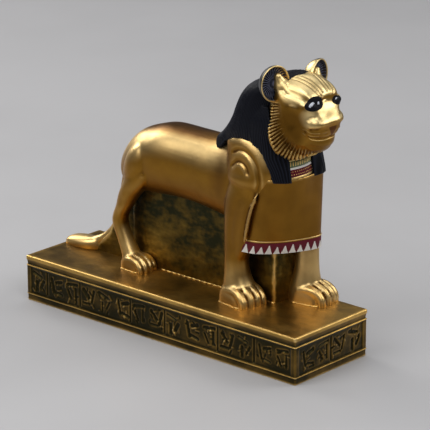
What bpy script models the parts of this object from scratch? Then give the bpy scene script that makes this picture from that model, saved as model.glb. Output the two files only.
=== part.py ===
"""A lioness in a striped wig, standing on an inscribed plinth: one cast piece.

Run it with: blender --background --python part.py

The plinth and the panel under the belly are clean-cut forms. The animal is
carved from lofts and rounded lumps, which one voxel remesh runs together.
Metres, +Z up, the animal looks along +X, the origin is under the plinth.
"""

import math

import bmesh
import bpy
import numpy as np
from mathutils import Euler, Matrix, Vector

MM = 0.001

# The plinth, in metres
PLINTH_LENGTH = 0.200
PLINTH_WIDTH = 0.060
PLINTH_HEIGHT = 0.0267
PLINTH_CORNER = 0.0012
LIP_DEPTH = 0.0026
COVE_DEPTH = 0.0025
BEAD_HEIGHT = 0.0010
FOOT_HEIGHT = 0.0037
COVE_INSET = 0.0008
PANEL_INSET = 0.0004
BEAD_INSET = 0.0001
FOOT_INSET = 0.0006

# The sunk fields in the plinth's sides, and the rows of shallow strokes in them
FIELD_DEPTH = 0.0004
FIELD_EDGE = 0.0003
CORNER_STRIP = 0.0032
STROKE_DEPTH = 0.0007
STROKE_WIDTH = 0.0010
STROKE_CELL = 0.0130
STROKE_MARGIN = 0.0010

# The panel that fills the space under the belly
WEB_RIGHT = 0.0045
WEB_LEFT = 0.0130
WEB_LEFT_AT_TAIL = 0.0030
WEB_STEP_AT_TAIL = 0.0004
WEB_SINK = 0.0010

# The animal: its height above the plinth, and how far left of the middle it stands
FIGURE_HEIGHT = 0.135
FIGURE_SHIFT = 0.0075
FIGURE_SINK = 0.0008

# Everything carved is drawn on a figure this tall, in millimetres
CARVED_HEIGHT = 135.0
SHARE = FIGURE_HEIGHT / (CARVED_HEIGHT * MM)

VOXEL = 0.00075
SMOOTHING_PASSES = 3
LATER_SMOOTHING_PASSES = 2
SECTION_STEPS = 40
PAW_STEPS = 28
HEAD_STEPS = 5
FIGURE_TRIANGLES = 6300

NODE_NAME = "lioness_statue"
GOLD = (0.78, 0.52, 0.16, 1.0)


def clear_scene():
    """Removes whatever the scene starts with."""
    for obj in list(bpy.data.objects):
        bpy.data.objects.remove(obj)


def collection(name, hidden=False):
    """A collection under the scene, left out of renders if it only holds helpers."""
    made = bpy.data.collections.new(name)
    made.hide_render = hidden
    bpy.context.scene.collection.children.link(made)
    return made


def material(name, colour, roughness, metallic):
    """A Principled finish of one colour."""
    made = bpy.data.materials.new(name)
    made.use_nodes = True
    shader = made.node_tree.nodes["Principled BSDF"]
    shader.inputs["Base Color"].default_value = colour
    shader.inputs["Roughness"].default_value = roughness
    shader.inputs["Metallic"].default_value = metallic
    return made


def object_from(mesh_builder, name, home):
    """Links a bmesh as a new object in the collection home."""
    mesh = bpy.data.meshes.new(name)
    bmesh.ops.recalc_face_normals(mesh_builder, faces=mesh_builder.faces)
    mesh_builder.to_mesh(mesh)
    mesh_builder.free()
    made = bpy.data.objects.new(name, mesh)
    home.objects.link(made)
    return made


def skin(builder, rings):
    """Joins closed rings of equal count with quads and caps both ends."""
    rows = [[builder.verts.new(point) for point in ring] for ring in rings]
    count = len(rows[0])
    for lower, upper in zip(rows, rows[1:]):
        for i in range(count):
            j = (i + 1) % count
            builder.faces.new((lower[i], lower[j], upper[j], upper[i]))
    builder.faces.new(list(reversed(rows[0])))
    builder.faces.new(rows[-1])


def on_figure(x, y, z):
    """A carved point, in metres in the statue's frame."""
    return Vector(
        (
            x * MM * SHARE,
            y * MM * SHARE + FIGURE_SHIFT,
            z * MM * SHARE + PLINTH_HEIGHT - FIGURE_SINK,
        )
    )


def smooth_rows(rows, per_gap):
    """Catmull-Rom rows between rows of numbers, so that a loft runs smoothly."""
    table = np.array(rows, float)
    padded = np.vstack([2 * table[0] - table[1], table, 2 * table[-1] - table[-2]])
    out = []
    for i in range(len(table) - 1):
        a, b, c, d = padded[i : i + 4]
        for t in np.linspace(0, 1, per_gap, endpoint=False):
            out.append(
                0.5
                * (
                    2 * b
                    + (c - a) * t
                    + (2 * a - 5 * b + 4 * c - d) * t * t
                    + (3 * b - a - 3 * c + d) * t**3
                )
            )
    out.append(table[-1])
    return out


def rounded(value, power):
    """A cosine or sine drawn out, so that a section of this squareness comes from it."""
    return math.copysign(abs(value) ** (2 / power), value)


def ring_x(x, y, z, half_y, half_z, power):
    """A rounded section that faces along the body."""
    turns = [2 * math.pi * i / SECTION_STEPS for i in range(SECTION_STEPS)]
    return [
        on_figure(
            x,
            y + half_y * rounded(math.cos(a), power),
            z + half_z * rounded(math.sin(a), power),
        )
        for a in turns
    ]


def ring_z(x, y, z, half_x, half_y, power):
    """A rounded section that lies level."""
    turns = [2 * math.pi * i / SECTION_STEPS for i in range(SECTION_STEPS)]
    return [
        on_figure(
            x + half_x * rounded(math.cos(a), power),
            y + half_y * rounded(math.sin(a), power),
            z,
        )
        for a in turns
    ]


def loft(home, name, rows, ring, per_gap=4):
    """A closed form through rows of numbers that ring turns into sections."""
    builder = bmesh.new()
    skin(builder, [ring(*row) for row in smooth_rows(rows, per_gap)])
    return object_from(builder, name, home)


def lump(home, name, centre, radii, pitch=0.0, yaw=0.0, roll=0.0):
    """An ellipsoid, tipped nose down by pitch and turned left by yaw, in degrees."""
    builder = bmesh.new()
    bmesh.ops.create_uvsphere(builder, u_segments=32, v_segments=20, radius=MM * SHARE)
    turn = Euler(
        (math.radians(roll), math.radians(pitch), math.radians(yaw)), "XYZ"
    ).to_matrix()
    place = Matrix.Translation(on_figure(*centre)) @ turn.to_4x4()
    bmesh.ops.transform(
        builder, matrix=place @ Matrix.Diagonal((*radii, 1.0)), verts=builder.verts
    )
    return object_from(builder, name, home)


def tube(home, name, rows):
    """A round tube through (x, y, z, radius) rows, as a curve turned into a mesh."""
    curve = bpy.data.curves.new(name, "CURVE")
    curve.dimensions = "3D"
    curve.bevel_depth = MM * SHARE
    curve.bevel_resolution = 4
    curve.use_fill_caps = True
    line = curve.splines.new("POLY")
    points = smooth_rows(rows, 4)
    line.points.add(len(points) - 1)
    for point, (x, y, z, radius) in zip(line.points, points):
        point.co = (*on_figure(x, y, z), 1.0)
        point.radius = radius
    holder = bpy.data.objects.new(name + "_line", curve)
    home.objects.link(holder)
    graph = bpy.context.evaluated_depsgraph_get()
    mesh = bpy.data.meshes.new_from_object(holder.evaluated_get(graph))
    bpy.data.objects.remove(holder)
    builder = bmesh.new()
    builder.from_mesh(mesh)
    bmesh.ops.remove_doubles(builder, verts=builder.verts, dist=0.01 * MM)
    return object_from(builder, name, home)


# Torso sections: x, side, height of the middle, half width, half height, squareness
TORSO = [
    (-55.5, 0.0, 54.0, 3.0, 5.0, 2.0),
    (-52.5, 0.0, 56.0, 8.0, 10.5, 2.0),
    (-46.0, 0.0, 59.0, 11.5, 15.5, 2.1),
    (-38.0, 0.0, 62.0, 14.5, 18.3, 2.1),
    (-28.0, 0.0, 64.3, 16.5, 19.8, 2.2),
    (-18.0, 0.0, 65.9, 17.0, 20.4, 2.2),
    (0.0, 0.0, 65.9, 16.5, 20.4, 2.2),
    (18.0, 0.0, 64.9, 17.0, 21.4, 2.2),
    (36.0, 0.0, 64.7, 17.5, 23.6, 2.3),
    (50.0, 0.0, 67.0, 16.0, 25.0, 2.3),
    (58.0, 0.0, 70.0, 13.5, 20.0, 2.3),
    (64.0, 0.0, 72.0, 10.5, 15.0, 2.2),
    (69.0, 0.0, 73.0, 6.0, 9.0, 2.0),
]

# A fore leg from its shoulder down: x, side, height, half length, half width, squareness
FORE_LEG = [
    (6.5, 0.0, 76.0, 9.5, 6.5, 2.2),
    (5.0, 0.3, 66.0, 9.5, 6.8, 2.2),
    (2.5, 0.6, 56.0, 8.2, 6.6, 2.2),
    (0.5, 0.6, 45.0, 6.6, 6.2, 2.2),
    (0.2, 0.4, 30.0, 6.3, 6.2, 2.2),
    (0.6, 0.2, 18.0, 6.8, 6.8, 2.2),
    (2.0, 0.0, 10.0, 8.5, 8.2, 2.3),
    (3.0, 0.0, 5.0, 9.5, 9.0, 2.4),
    (3.0, 0.0, 0.0, 9.5, 9.0, 2.4),
]
FORE_LEG_X = 37.8
FORE_LEG_STEP = 27.0
FORE_LEG_SIDE = 13.2
FORE_LEG_LEFT_LEAN = -0.35

# A hind leg from its knee down
HIND_LEG = [
    (10.5, 0.0, 58.0, 10.5, 6.0, 2.2),
    (5.5, 0.3, 50.0, 8.2, 6.3, 2.2),
    (0.5, 0.3, 43.0, 6.4, 5.8, 2.2),
    (-3.0, 0.4, 36.0, 5.0, 5.0, 2.2),
    (-6.2, 0.4, 30.0, 4.4, 4.6, 2.2),
    (-6.6, 0.4, 25.0, 4.4, 4.6, 2.2),
    (-3.4, 0.2, 17.0, 4.4, 4.6, 2.2),
    (0.2, 0.0, 10.0, 4.8, 5.4, 2.2),
    (2.6, 0.0, 4.5, 5.2, 6.0, 2.3),
    (3.0, 0.0, 0.0, 5.2, 6.0, 2.4),
]
HIND_LEG_X = -43.0
HIND_LEG_STEP = 5.0
HIND_LEG_SIDE = 11.3
HIND_PAW_AHEAD = 2.6

# Muscles: a thigh's centre ahead of its hind leg, and a shoulder's centre
THIGH_CENTRE = (8.0, 10.5, 60.5)
THIGH_RADII = (10.2, 7.4, 15.5)
THIGH_PITCH = 24.0
SHOULDER_CENTRE = (46.5, 13.5, 73.5)
SHOULDER_RADII = (14.5, 6.2, 18.0)


def legs(home):
    """The four legs with their paws, the left fore leg a stride ahead."""
    for side in (-1, 1):
        word = "right" if side < 0 else "left"
        fore_x = FORE_LEG_X + (FORE_LEG_STEP if side > 0 else 0.0)
        lean = 1.0 if side < 0 else FORE_LEG_LEFT_LEAN
        rows = [
            (fore_x + dx * lean, side * (FORE_LEG_SIDE + dy), z, a, b, p)
            for dx, dy, z, a, b, p in FORE_LEG
        ]
        yield loft(home, f"{word}_fore_leg", rows, ring_z)
        yield from paw(home, f"{word}_fore", fore_x, side * FORE_LEG_SIDE, side, FORE_PAW)
        hind_x = HIND_LEG_X + (HIND_LEG_STEP if side > 0 else 0.0)
        rows = [
            (hind_x + dx, side * (HIND_LEG_SIDE + dy), z, a, b, p)
            for dx, dy, z, a, b, p in HIND_LEG
        ]
        yield loft(home, f"{word}_hind_leg", rows, ring_z)
        heel = hind_x + HIND_PAW_AHEAD
        yield from paw(home, f"{word}_hind", heel, side * HIND_LEG_SIDE, side, HIND_PAW)
        ahead, out, z = THIGH_CENTRE
        centre = (hind_x + ahead, side * out, z)
        yield lump(home, f"{word}_thigh", centre, THIGH_RADII, pitch=THIGH_PITCH)
        x, out, z = SHOULDER_CENTRE
        yield lump(home, f"{word}_shoulder", (x, side * out, z), SHOULDER_RADII)


# A paw's level sections: middle, height, half length, half width, squareness
PAW = [
    (3.2, -1.0, 10.8, 9.3, 4.0),
    (3.2, 3.5, 10.4, 9.2, 3.4),
    (2.2, 6.5, 9.0, 8.7, 2.8),
    (0.4, 9.0, 6.6, 7.6, 2.4),
    (-0.5, 11.0, 5.0, 6.2, 2.2),
]
TOES = 4
TOE_PITCH = 4.45
TOE = [
    (-1.0, 8.6, 2.4),
    (5.0, 9.6, 2.5),
    (10.4, 8.6, 2.5),
    (14.0, 5.2, 2.5),
    (14.6, 0.5, 2.5),
]

# Fore and hind paws: share of the lengths and heights above, share of the widths, outward splay
FORE_PAW = (1.0, 1.0, 9.0)
HIND_PAW = (0.80, 0.74, 4.0)


def paw(home, name, x, y, side, kind):
    """A paw with four toes, splayed a little outward."""
    size, narrow, degrees = kind
    splay = math.radians(degrees * side)
    across = Vector((-math.sin(splay), math.cos(splay)))
    ahead = Vector((math.cos(splay), math.sin(splay)))
    heel = Vector((x, y))
    rings = []
    for middle, z, half_length, half_width, power in smooth_rows(PAW, 3):
        ring = []
        for i in range(PAW_STEPS):
            a = 2 * math.pi * i / PAW_STEPS
            along = (middle + half_length * rounded(math.cos(a), power)) * size
            aside = half_width * rounded(math.sin(a), power) * narrow
            point = heel + ahead * along + across * aside
            ring.append(on_figure(point.x, point.y, z * size))
        rings.append(ring)
    builder = bmesh.new()
    skin(builder, rings)
    yield object_from(builder, f"{name}_paw", home)
    for i in range(TOES):
        place = i - (TOES - 1) / 2
        start = heel + across * place * TOE_PITCH * narrow
        shorter = 1.0 - 0.03 * place * place
        rows = []
        for along, z, radius in TOE:
            point = start + ahead * along * shorter * size
            rows.append((point.x, point.y, z * size, radius * size))
        yield tube(home, f"{name}_toe_{i + 1}", rows)


# The tail's tuft, which lies on the plinth: upright sections from the tail to its end
TUFT = [
    (-73.0, -1.0, 3.5, 2.0, 3.0, 2.0),
    (-77.0, -1.6, 3.2, 4.0, 4.2, 2.2),
    (-83.0, -2.2, 2.6, 5.8, 4.6, 2.3),
    (-90.0, -2.6, 2.2, 6.2, 4.4, 2.4),
    (-95.0, -2.8, 1.8, 5.6, 3.8, 2.5),
    (-98.0, -2.8, 1.4, 4.4, 2.8, 2.5),
    (-98.9, -2.8, 1.0, 2.4, 1.6, 2.4),
]


def tail(home):
    """The tail, which drops behind the hind legs and lies back along the plinth."""
    yield tube(
        home,
        "tail",
        [
            (-44.0, 0.0, 66.0, 5.5),
            (-50.5, 0.0, 55.0, 5.0),
            (-54.5, 0.0, 41.0, 4.5),
            (-58.5, 0.0, 29.0, 4.0),
            (-62.5, 0.0, 18.8, 3.2),
            (-67.2, -0.2, 12.8, 2.8),
            (-72.5, -0.8, 8.0, 3.0),
            (-79.0, -1.6, 4.4, 3.4),
        ],
    )
    yield loft(home, "tail_tuft", TUFT, ring_x)


# The head's level outlines from the throat up: height, then points from the nose round to the nape
HEAD = [
    (88.5, (80.0, 0.0), (79.0, 4.0), (75.0, 8.0), (68.0, 10.5), (60.0, 10.0), (54.0, 0.0)),
    (91.6, (86.7, 0.0), (86.1, 4.0), (81.0, 8.8), (72.0, 13.0), (62.0, 13.5), (52.0, 0.0)),
    (95.5, (90.2, 0.0), (88.6, 4.9), (83.6, 9.9), (76.0, 14.5), (64.0, 16.5), (50.0, 0.0)),
    (99.3, (90.9, 0.0), (89.7, 5.3), (85.1, 10.4), (79.0, 14.9), (66.0, 18.2), (48.0, 0.0)),
    (103.5, (92.1, 0.0), (91.4, 6.8), (87.0, 11.4), (80.0, 15.4), (67.0, 18.8), (48.0, 0.0)),
    (107.6, (92.5, 0.0), (92.1, 7.8), (87.8, 11.9), (80.0, 15.6), (68.0, 18.6), (48.0, 0.0)),
    (111.0, (91.0, 0.0), (90.9, 7.6), (87.3, 11.9), (80.5, 15.7), (68.0, 18.4), (48.0, 0.0)),
    (114.5, (89.5, 0.0), (89.3, 7.4), (87.9, 11.4), (82.4, 15.4), (69.0, 18.0), (48.0, 0.0)),
    (118.0, (87.4, 0.0), (88.4, 6.2), (87.2, 11.0), (82.4, 15.2), (69.0, 17.8), (48.0, 0.0)),
    (121.5, (86.4, 0.0), (87.4, 6.2), (85.9, 11.2), (79.2, 15.2), (68.0, 17.2), (49.0, 0.0)),
    (124.5, (84.4, 0.0), (84.6, 5.8), (82.9, 10.9), (76.2, 14.2), (67.0, 16.2), (51.0, 0.0)),
    (127.6, (80.6, 0.0), (79.9, 5.4), (77.0, 9.8), (71.4, 12.6), (65.0, 13.5), (54.0, 0.0)),
    (129.8, (75.5, 0.0), (74.5, 4.2), (71.6, 7.0), (68.0, 8.4), (64.0, 8.0), (58.0, 0.0)),
    (130.6, (71.0, 0.0), (70.4, 2.0), (69.0, 3.2), (67.0, 3.8), (65.0, 3.2), (62.0, 0.0)),
]


def round_ring(points, per_gap):
    """A closed smooth ring through points."""
    count = len(points)
    looped = [points[i % count] for i in range(-1, count + 2)]
    return smooth_rows(looped, per_gap)[per_gap : per_gap * (count + 1)]


def ring_head(row):
    """A level ring of the head from a smoothed row of its height and its half outline."""
    z, *flat = row
    half = list(zip(flat[0::2], flat[1::2]))
    whole = half + [(x, -y) for x, y in reversed(half[1:-1])]
    return [on_figure(x, y, z) for x, y in round_ring(whole, HEAD_STEPS)]


# The left side of the face: name, centre, radii, pitch, yaw, roll
FACE_LUMPS = [
    ("cheekbone", (78.5, 13.0, 116.5), (7.0, 4.2, 3.4), 14.0, -28.0, 0.0),
    ("eye", (85.6, 9.8, 117.2), (3.2, 4.8, 2.6), 0.0, 24.0, 16.0),
    ("ruff", (68.5, 14.5, 101.0), (6.0, 5.5, 12.0), 0.0, 0.0, 0.0),
]

# The ruff under the jaw, from the left side to the middle: x, side, height, radius
RUFF = [
    (67.6, 15.0, 101.0, 4.6),
    (68.8, 14.6, 97.0, 4.6),
    (70.2, 13.0, 93.2, 4.0),
    (72.0, 10.4, 90.6, 4.1),
    (73.6, 6.6, 89.4, 4.0),
    (74.2, 2.2, 89.0, 3.4),
]


def spans(rows):
    """Level rows given by their back and front, as the middles and half lengths that ring_z takes."""
    return [
        ((back + front) / 2, 0.0, z, (front - back) / 2, half, power)
        for back, front, z, half, power in rows
    ]


def head(home):
    """The lioness's head, without ears."""
    rows = [(z, *(value for point in outline for value in point)) for z, *outline in HEAD]
    builder = bmesh.new()
    skin(builder, [ring_head(row) for row in smooth_rows(rows, 3)])
    yield object_from(builder, "head", home)
    yield tube(home, "ruff", RUFF + [(x, -y, z, radius) for x, y, z, radius in reversed(RUFF)])
    for side in (-1, 1):
        word = "right" if side < 0 else "left"
        for name, (x, y, z), radii, pitch, yaw, roll in FACE_LUMPS:
            yield lump(home, f"{word}_{name}", (x, side * y, z), radii, pitch, yaw * side, roll * side)


# An ear turned about its own axis: along, radius
EAR = [
    (-7.0, 1.5),
    (-6.2, 4.6),
    (-4.0, 7.2),
    (-1.2, 8.6),
    (0.6, 9.1),
    (1.4, 8.5),
    (0.7, 7.7),
    (-1.2, 6.9),
    (-2.0, 4.8),
    (-1.3, 3.0),
    (-0.5, 1.0),
]
EAR_SEGMENTS = 32
EAR_YAW = 13.0
EAR_TALLER = 1.08
EAR_CENTRES = {"right": (67.0, -16.6, 127.6), "left": (69.0, 16.4, 125.6)}

# The lobe that runs from an ear's dish into the temple: ahead, toward the middle, up, radius
EAR_LOBE = [
    (0.3, 2.2, 3.2, 2.2),
    (0.9, 3.6, -0.6, 4.3),
    (3.4, 4.6, -4.1, 4.6),
    (8.0, 5.0, -7.4, 4.0),
    (12.0, 5.2, -9.6, 2.6),
]


def ears(home):
    """Round ears: a dished disc in a raised rim, turned a little outward."""
    for side in (-1, 1):
        word = "right" if side < 0 else "left"
        centre = on_figure(*EAR_CENTRES[word])
        turn = Euler((0.0, 0.0, math.radians(EAR_YAW * side)), "XYZ").to_matrix()
        rings = []
        for along, radius in EAR:
            ring = []
            for i in range(EAR_SEGMENTS):
                a = 2 * math.pi * i / EAR_SEGMENTS
                tall = radius * EAR_TALLER if side < 0 else radius
                local = Vector((along, radius * math.cos(a), tall * math.sin(a)))
                ring.append(centre + turn @ local * MM * SHARE)
            rings.append(ring)
        builder = bmesh.new()
        skin(builder, rings)
        yield object_from(builder, f"{word}_ear", home)
        x, y, z = EAR_CENTRES[word]
        rows = [(x + ahead, y - inward * side, z + up, radius) for ahead, inward, up, radius in EAR_LOBE]
        yield tube(home, f"{word}_ear_lobe", rows)


# The wig's level sections from its crown down: back, front, height, half width, squareness
WIG = [
    (62.0, 73.0, 129.7, 6.0, 2.0),
    (55.8, 72.5, 127.9, 11.0, 2.0),
    (49.0, 70.5, 125.3, 14.4, 2.1),
    (42.0, 69.0, 121.8, 16.8, 2.1),
    (36.8, 67.5, 116.4, 18.0, 2.1),
    (33.4, 66.0, 110.0, 18.6, 2.1),
    (30.6, 65.0, 103.5, 18.8, 2.1),
    (27.0, 65.0, 97.5, 18.4, 2.2),
    (22.0, 65.0, 92.0, 16.5, 2.3),
    (17.3, 64.0, 87.3, 14.5, 2.6),
    (17.0, 62.0, 80.0, 13.0, 3.0),
]

# The lappets' faces seen from above, outer edge to inner edge, at falling heights; y is to the side
LAPPETS = {
    "right": [
        (114.0, (52.5, 16.0), (58.0, 16.6), (63.0, 16.2)),
        (106.0, (50.0, 18.5), (58.5, 18.8), (65.5, 17.5)),
        (99.0, (50.5, 18.4), (59.5, 18.4), (66.5, 15.6)),
        (93.0, (53.0, 18.2), (61.5, 17.4), (68.0, 12.0)),
        (86.0, (57.0, 18.0), (65.0, 15.4), (70.3, 9.0)),
        (79.0, (61.5, 17.4), (67.6, 14.0), (71.8, 8.8)),
        (72.8, (64.4, 16.6), (69.4, 13.4), (72.9, 9.0)),
    ],
    "left": [
        (114.0, (52.5, 16.0), (58.0, 16.6), (63.0, 16.2)),
        (106.0, (50.5, 18.5), (58.5, 18.8), (65.5, 17.5)),
        (99.0, (53.0, 18.8), (61.0, 18.6), (67.0, 15.6)),
        (93.0, (59.0, 19.3), (65.6, 18.0), (68.8, 12.0)),
        (86.0, (67.5, 20.2), (70.8, 16.0), (71.0, 9.0)),
        (79.0, (70.8, 20.2), (73.0, 15.0), (72.5, 8.8)),
        (72.8, (72.2, 19.9), (74.1, 14.5), (73.4, 8.8)),
    ],
}
LAPPET_DEPTH = 9.0
THROAT_CENTRE = (62.0, 0.0, 84.0)
THROAT_RADII = (9.5, 12.0, 14.0)


def wig(home):
    """The wig's mass behind the face, and its two lappets down the chest."""
    yield loft(home, "wig_mass", spans(WIG), ring_z)
    for side in (-1, 1):
        word = "right" if side < 0 else "left"
        rings = []
        for z, *edge in LAPPETS[word]:
            edge = smooth_rows(edge, 3)
            front = [on_figure(x, y * side, z) for x, y in edge]
            back = [on_figure(x - LAPPET_DEPTH, y * side * 0.7, z) for x, y in reversed(edge)]
            rings.append(front + back)
        builder = bmesh.new()
        skin(builder, rings)
        yield object_from(builder, f"{word}_lappet", home)
    yield lump(home, "throat", THROAT_CENTRE, THROAT_RADII)


# The bib's edge seen from above, from the right shoulder round to the left, at two heights
BIB_TOP = [
    (54.5, -17.0),
    (64.0, -15.5),
    (70.5, -9.0),
    (73.2, 0.0),
    (73.3, 9.5),
    (72.8, 16.3),
    (70.8, 19.4),
]
BIB_HEM = [
    (45.5, -18.0),
    (54.0, -15.8),
    (62.0, -8.5),
    (67.5, 0.0),
    (71.5, 8.5),
    (72.3, 15.2),
    (68.4, 19.4),
]
BIB_TOP_Z = 74.0
BIB_HEM_Z = 31.0
BIB_DEPTH = 7.0


def bib(home):
    """The apron that hangs from the wig to below the chest, as one solid mass."""
    builder = bmesh.new()
    rings = []
    for t in np.linspace(0.0, 1.0, 7):
        edge = [
            (a[0] + (b[0] - a[0]) * t, a[1] + (b[1] - a[1]) * t)
            for a, b in zip(smooth_rows(BIB_TOP, 4), smooth_rows(BIB_HEM, 4))
        ]
        z = BIB_TOP_Z + (BIB_HEM_Z - BIB_TOP_Z) * t
        front = [on_figure(x, y, z) for x, y in edge]
        back = [on_figure(x - BIB_DEPTH, y * 0.8, z) for x, y in reversed(edge)]
        rings.append(front + back)
    skin(builder, rings)
    return object_from(builder, "bib", home)


# Soft hollows pressed into both sides: centre, radii, how far in
HOLLOWS = {
    "eye socket": ((88.0, 6.5, 118.6), (5.0, 8.5, 4.6), 1.0),
    "bridge side": ((90.0, 7.5, 112.5), (5.0, 3.6, 3.2), 0.7),
    "cheek": ((80.5, 15.6, 107.5), (7.5, 5.5, 8.5), 1.4),
    "jaw": ((82.5, 14.0, 101.0), (5.5, 5.5, 6.5), 1.3),
    "under the nose": ((92.5, 4.5, 104.0), (4.0, 7.0, 3.2), 0.4),
}

# Carved lines on both sides: half width, how far out they stand (sunk when negative), points
LINES = {
    "nose edge": (
        2.2,
        0.5,
        [(92.2, 0.0, 108.4), (92.1, 5.0, 108.0), (91.1, 8.8, 107.6), (88.0, 12.0, 106.9)],
    ),
    "under the nose": (
        2.4,
        -1.0,
        [(92.9, 0.0, 104.8), (92.6, 6.2, 104.4), (90.0, 10.4, 103.8), (87.0, 12.6, 103.2)],
    ),
    "mouth": (
        1.5,
        -0.7,
        [
            (91.3, 0.0, 100.4),
            (90.6, 3.8, 99.9),
            (88.2, 8.6, 99.9),
            (85.8, 11.2, 101.0),
            (84.4, 13.0, 103.6),
        ],
    ),
    "chin": (
        2.6,
        0.9,
        [(90.4, 0.0, 96.4), (88.9, 4.8, 96.6), (86.2, 9.0, 97.6)],
    ),
    "over the cheekbone": (
        2.9,
        -0.8,
        [(75.3, 15.8, 124.2), (78.8, 14.6, 123.2), (82.0, 13.4, 121.8), (84.2, 12.9, 120.5)],
    ),
    "ruff's outer edge": (
        1.6,
        -1.2,
        [
            (65.6, 16.4, 113.8),
            (65.2, 18.6, 107.0),
            (66.0, 19.6, 102.4),
            (68.0, 19.6, 97.6),
            (69.6, 18.2, 94.4),
        ],
    ),
    "shoulder's outer groove": (
        1.5,
        -1.2,
        [
            (42.1, 14.5, 86.6),
            (48.0, 14.5, 88.2),
            (54.4, 14.5, 86.5),
            (59.2, 14.5, 82.9),
            (61.1, 14.5, 79.1),
            (60.8, 15.0, 74.9),
            (59.7, 15.5, 70.4),
            (53.9, 16.5, 65.0),
            (50.5, 18.0, 55.0),
            (47.5, 18.5, 45.0),
            (45.5, 18.5, 36.0),
        ],
    ),
    "shoulder's inner groove": (
        1.4,
        -1.0,
        [
            (42.4, 18.0, 80.1),
            (46.2, 18.5, 82.2),
            (50.5, 18.5, 81.8),
            (53.1, 18.0, 79.4),
            (54.2, 17.5, 77.1),
        ],
    ),
}


def press(made):
    """Presses the hollows and the carved lines into the skin, along its normals."""
    mesh = made.data
    count = len(mesh.vertices)
    flat = np.empty(count * 3)
    mesh.vertices.foreach_get("co", flat)
    points = flat.reshape(-1, 3)
    flat = np.empty(count * 3)
    mesh.vertex_normals.foreach_get("vector", flat)
    normals = flat.reshape(-1, 3)
    carved = (points - np.array(on_figure(0.0, 0.0, 0.0))) / (MM * SHARE)
    carved[:, 1] = np.abs(carved[:, 1])
    out = np.zeros(count)
    for centre, radii, depth in HOLLOWS.values():
        reach = (((carved - centre) / radii) ** 2).sum(axis=1)
        out -= depth * np.clip(1.0 - reach, 0.0, None) ** 2
    for width, height, path in LINES.values():
        gap = np.full(count, np.inf)
        for spot in smooth_rows(path, 8):
            gap = np.minimum(gap, ((carved - spot) ** 2).sum(axis=1))
        out += height * np.clip(1.0 - gap / width**2, 0.0, None) ** 2
    moved = points + normals * (out * MM * SHARE)[:, None]
    mesh.vertices.foreach_set("co", moved.ravel())
    mesh.update()


def figure(home):
    """The whole animal, run together into one skin, pressed, and thinned to its budget."""
    forms = [loft(home, "torso", TORSO, ring_x)]
    forms += list(legs(home))
    forms += list(tail(home))
    forms += list(head(home))
    forms += list(ears(home))
    forms += list(wig(home))
    forms.append(bib(home))
    whole = bmesh.new()
    for form in forms:
        whole.from_mesh(form.data)
        bpy.data.objects.remove(form)
    made = object_from(whole, "figure", home)
    remesh = made.modifiers.new("run together", "REMESH")
    remesh.mode = "VOXEL"
    remesh.voxel_size = VOXEL
    soften(made, SMOOTHING_PASSES)
    bake(made)
    press(made)
    soften(made, LATER_SMOOTHING_PASSES)
    bake(made)
    thin = made.modifiers.new("thin", "DECIMATE")
    made.data.calc_loop_triangles()
    thin.ratio = FIGURE_TRIANGLES / len(made.data.loop_triangles)
    thin.use_collapse_triangulate = True
    bake(made)
    return made


def soften(obj, passes):
    """Smooths the skin a little."""
    smooth = obj.modifiers.new("soften", "SMOOTH")
    smooth.factor = 0.5
    smooth.iterations = passes


def bake(obj):
    """Replaces the object's mesh by what its modifiers make of it."""
    graph = bpy.context.evaluated_depsgraph_get()
    mesh = bpy.data.meshes.new_from_object(obj.evaluated_get(graph))
    obj.modifiers.clear()
    obj.data = mesh


def plinth_profile():
    """(inset, height) pairs up the plinth's moulded side."""
    top = PLINTH_HEIGHT
    lip_low = top - LIP_DEPTH
    cove_low = lip_low - COVE_DEPTH
    bead_low = cove_low - BEAD_HEIGHT
    foot = FOOT_HEIGHT
    return [
        (FOOT_INSET, 0.0),
        (FOOT_INSET, foot),
        (BEAD_INSET, foot + BEAD_HEIGHT * 0.3),
        (BEAD_INSET, foot + BEAD_HEIGHT * 0.7),
        (PANEL_INSET, foot + BEAD_HEIGHT),
        (PANEL_INSET, bead_low),
        (BEAD_INSET, bead_low + BEAD_HEIGHT * 0.3),
        (BEAD_INSET, bead_low + BEAD_HEIGHT * 0.7),
        (COVE_INSET, cove_low),
        (COVE_INSET, cove_low + COVE_DEPTH * 0.5),
        (LIP_DEPTH * 0.25, lip_low),
        (0.0, lip_low + LIP_DEPTH * 0.25),
        (0.0, top - LIP_DEPTH * 0.35),
        (LIP_DEPTH * 0.12, top - LIP_DEPTH * 0.12),
        (LIP_DEPTH * 0.40, top),
    ]


def plinth_ring(inset, z, steps=4):
    """A level rectangle with rounded corners."""
    half_x = PLINTH_LENGTH / 2 - inset
    half_y = PLINTH_WIDTH / 2 - inset
    r = max(PLINTH_CORNER - inset, PLINTH_CORNER * 0.3)
    points = []
    for quarter, (sx, sy) in enumerate(((1, 1), (-1, 1), (-1, -1), (1, -1))):
        for i in range(steps + 1):
            a = math.radians(90 * quarter + 90 * i / steps)
            points.append(
                Vector((sx * (half_x - r) + r * math.cos(a), sy * (half_y - r) + r * math.sin(a), z))
            )
    return points


def plinth(home):
    """The moulded plinth block."""
    builder = bmesh.new()
    skin(builder, [plinth_ring(inset, z) for inset, z in plinth_profile()])
    return object_from(builder, "plinth", home)


def side_box(builder, side, along, z, length, height, depth, tilt=0.0):
    """Adds a box that enters one of the plinth's four sides, tilted in the plane of that side."""
    reach = 2 * depth
    turn = Matrix.Rotation(math.radians(90.0 * side), 4, "Z")
    face = (PLINTH_WIDTH if side % 2 == 0 else PLINTH_LENGTH) / 2 - PANEL_INSET
    centre = Vector((along, -face, z))
    place = turn @ Matrix.Translation(centre) @ Matrix.Rotation(math.radians(tilt), 4, "Y")
    made = bmesh.ops.create_cube(builder, size=1.0)["verts"]
    bmesh.ops.transform(builder, matrix=place @ Matrix.Diagonal((length, reach, height, 1.0)), verts=made)


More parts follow.
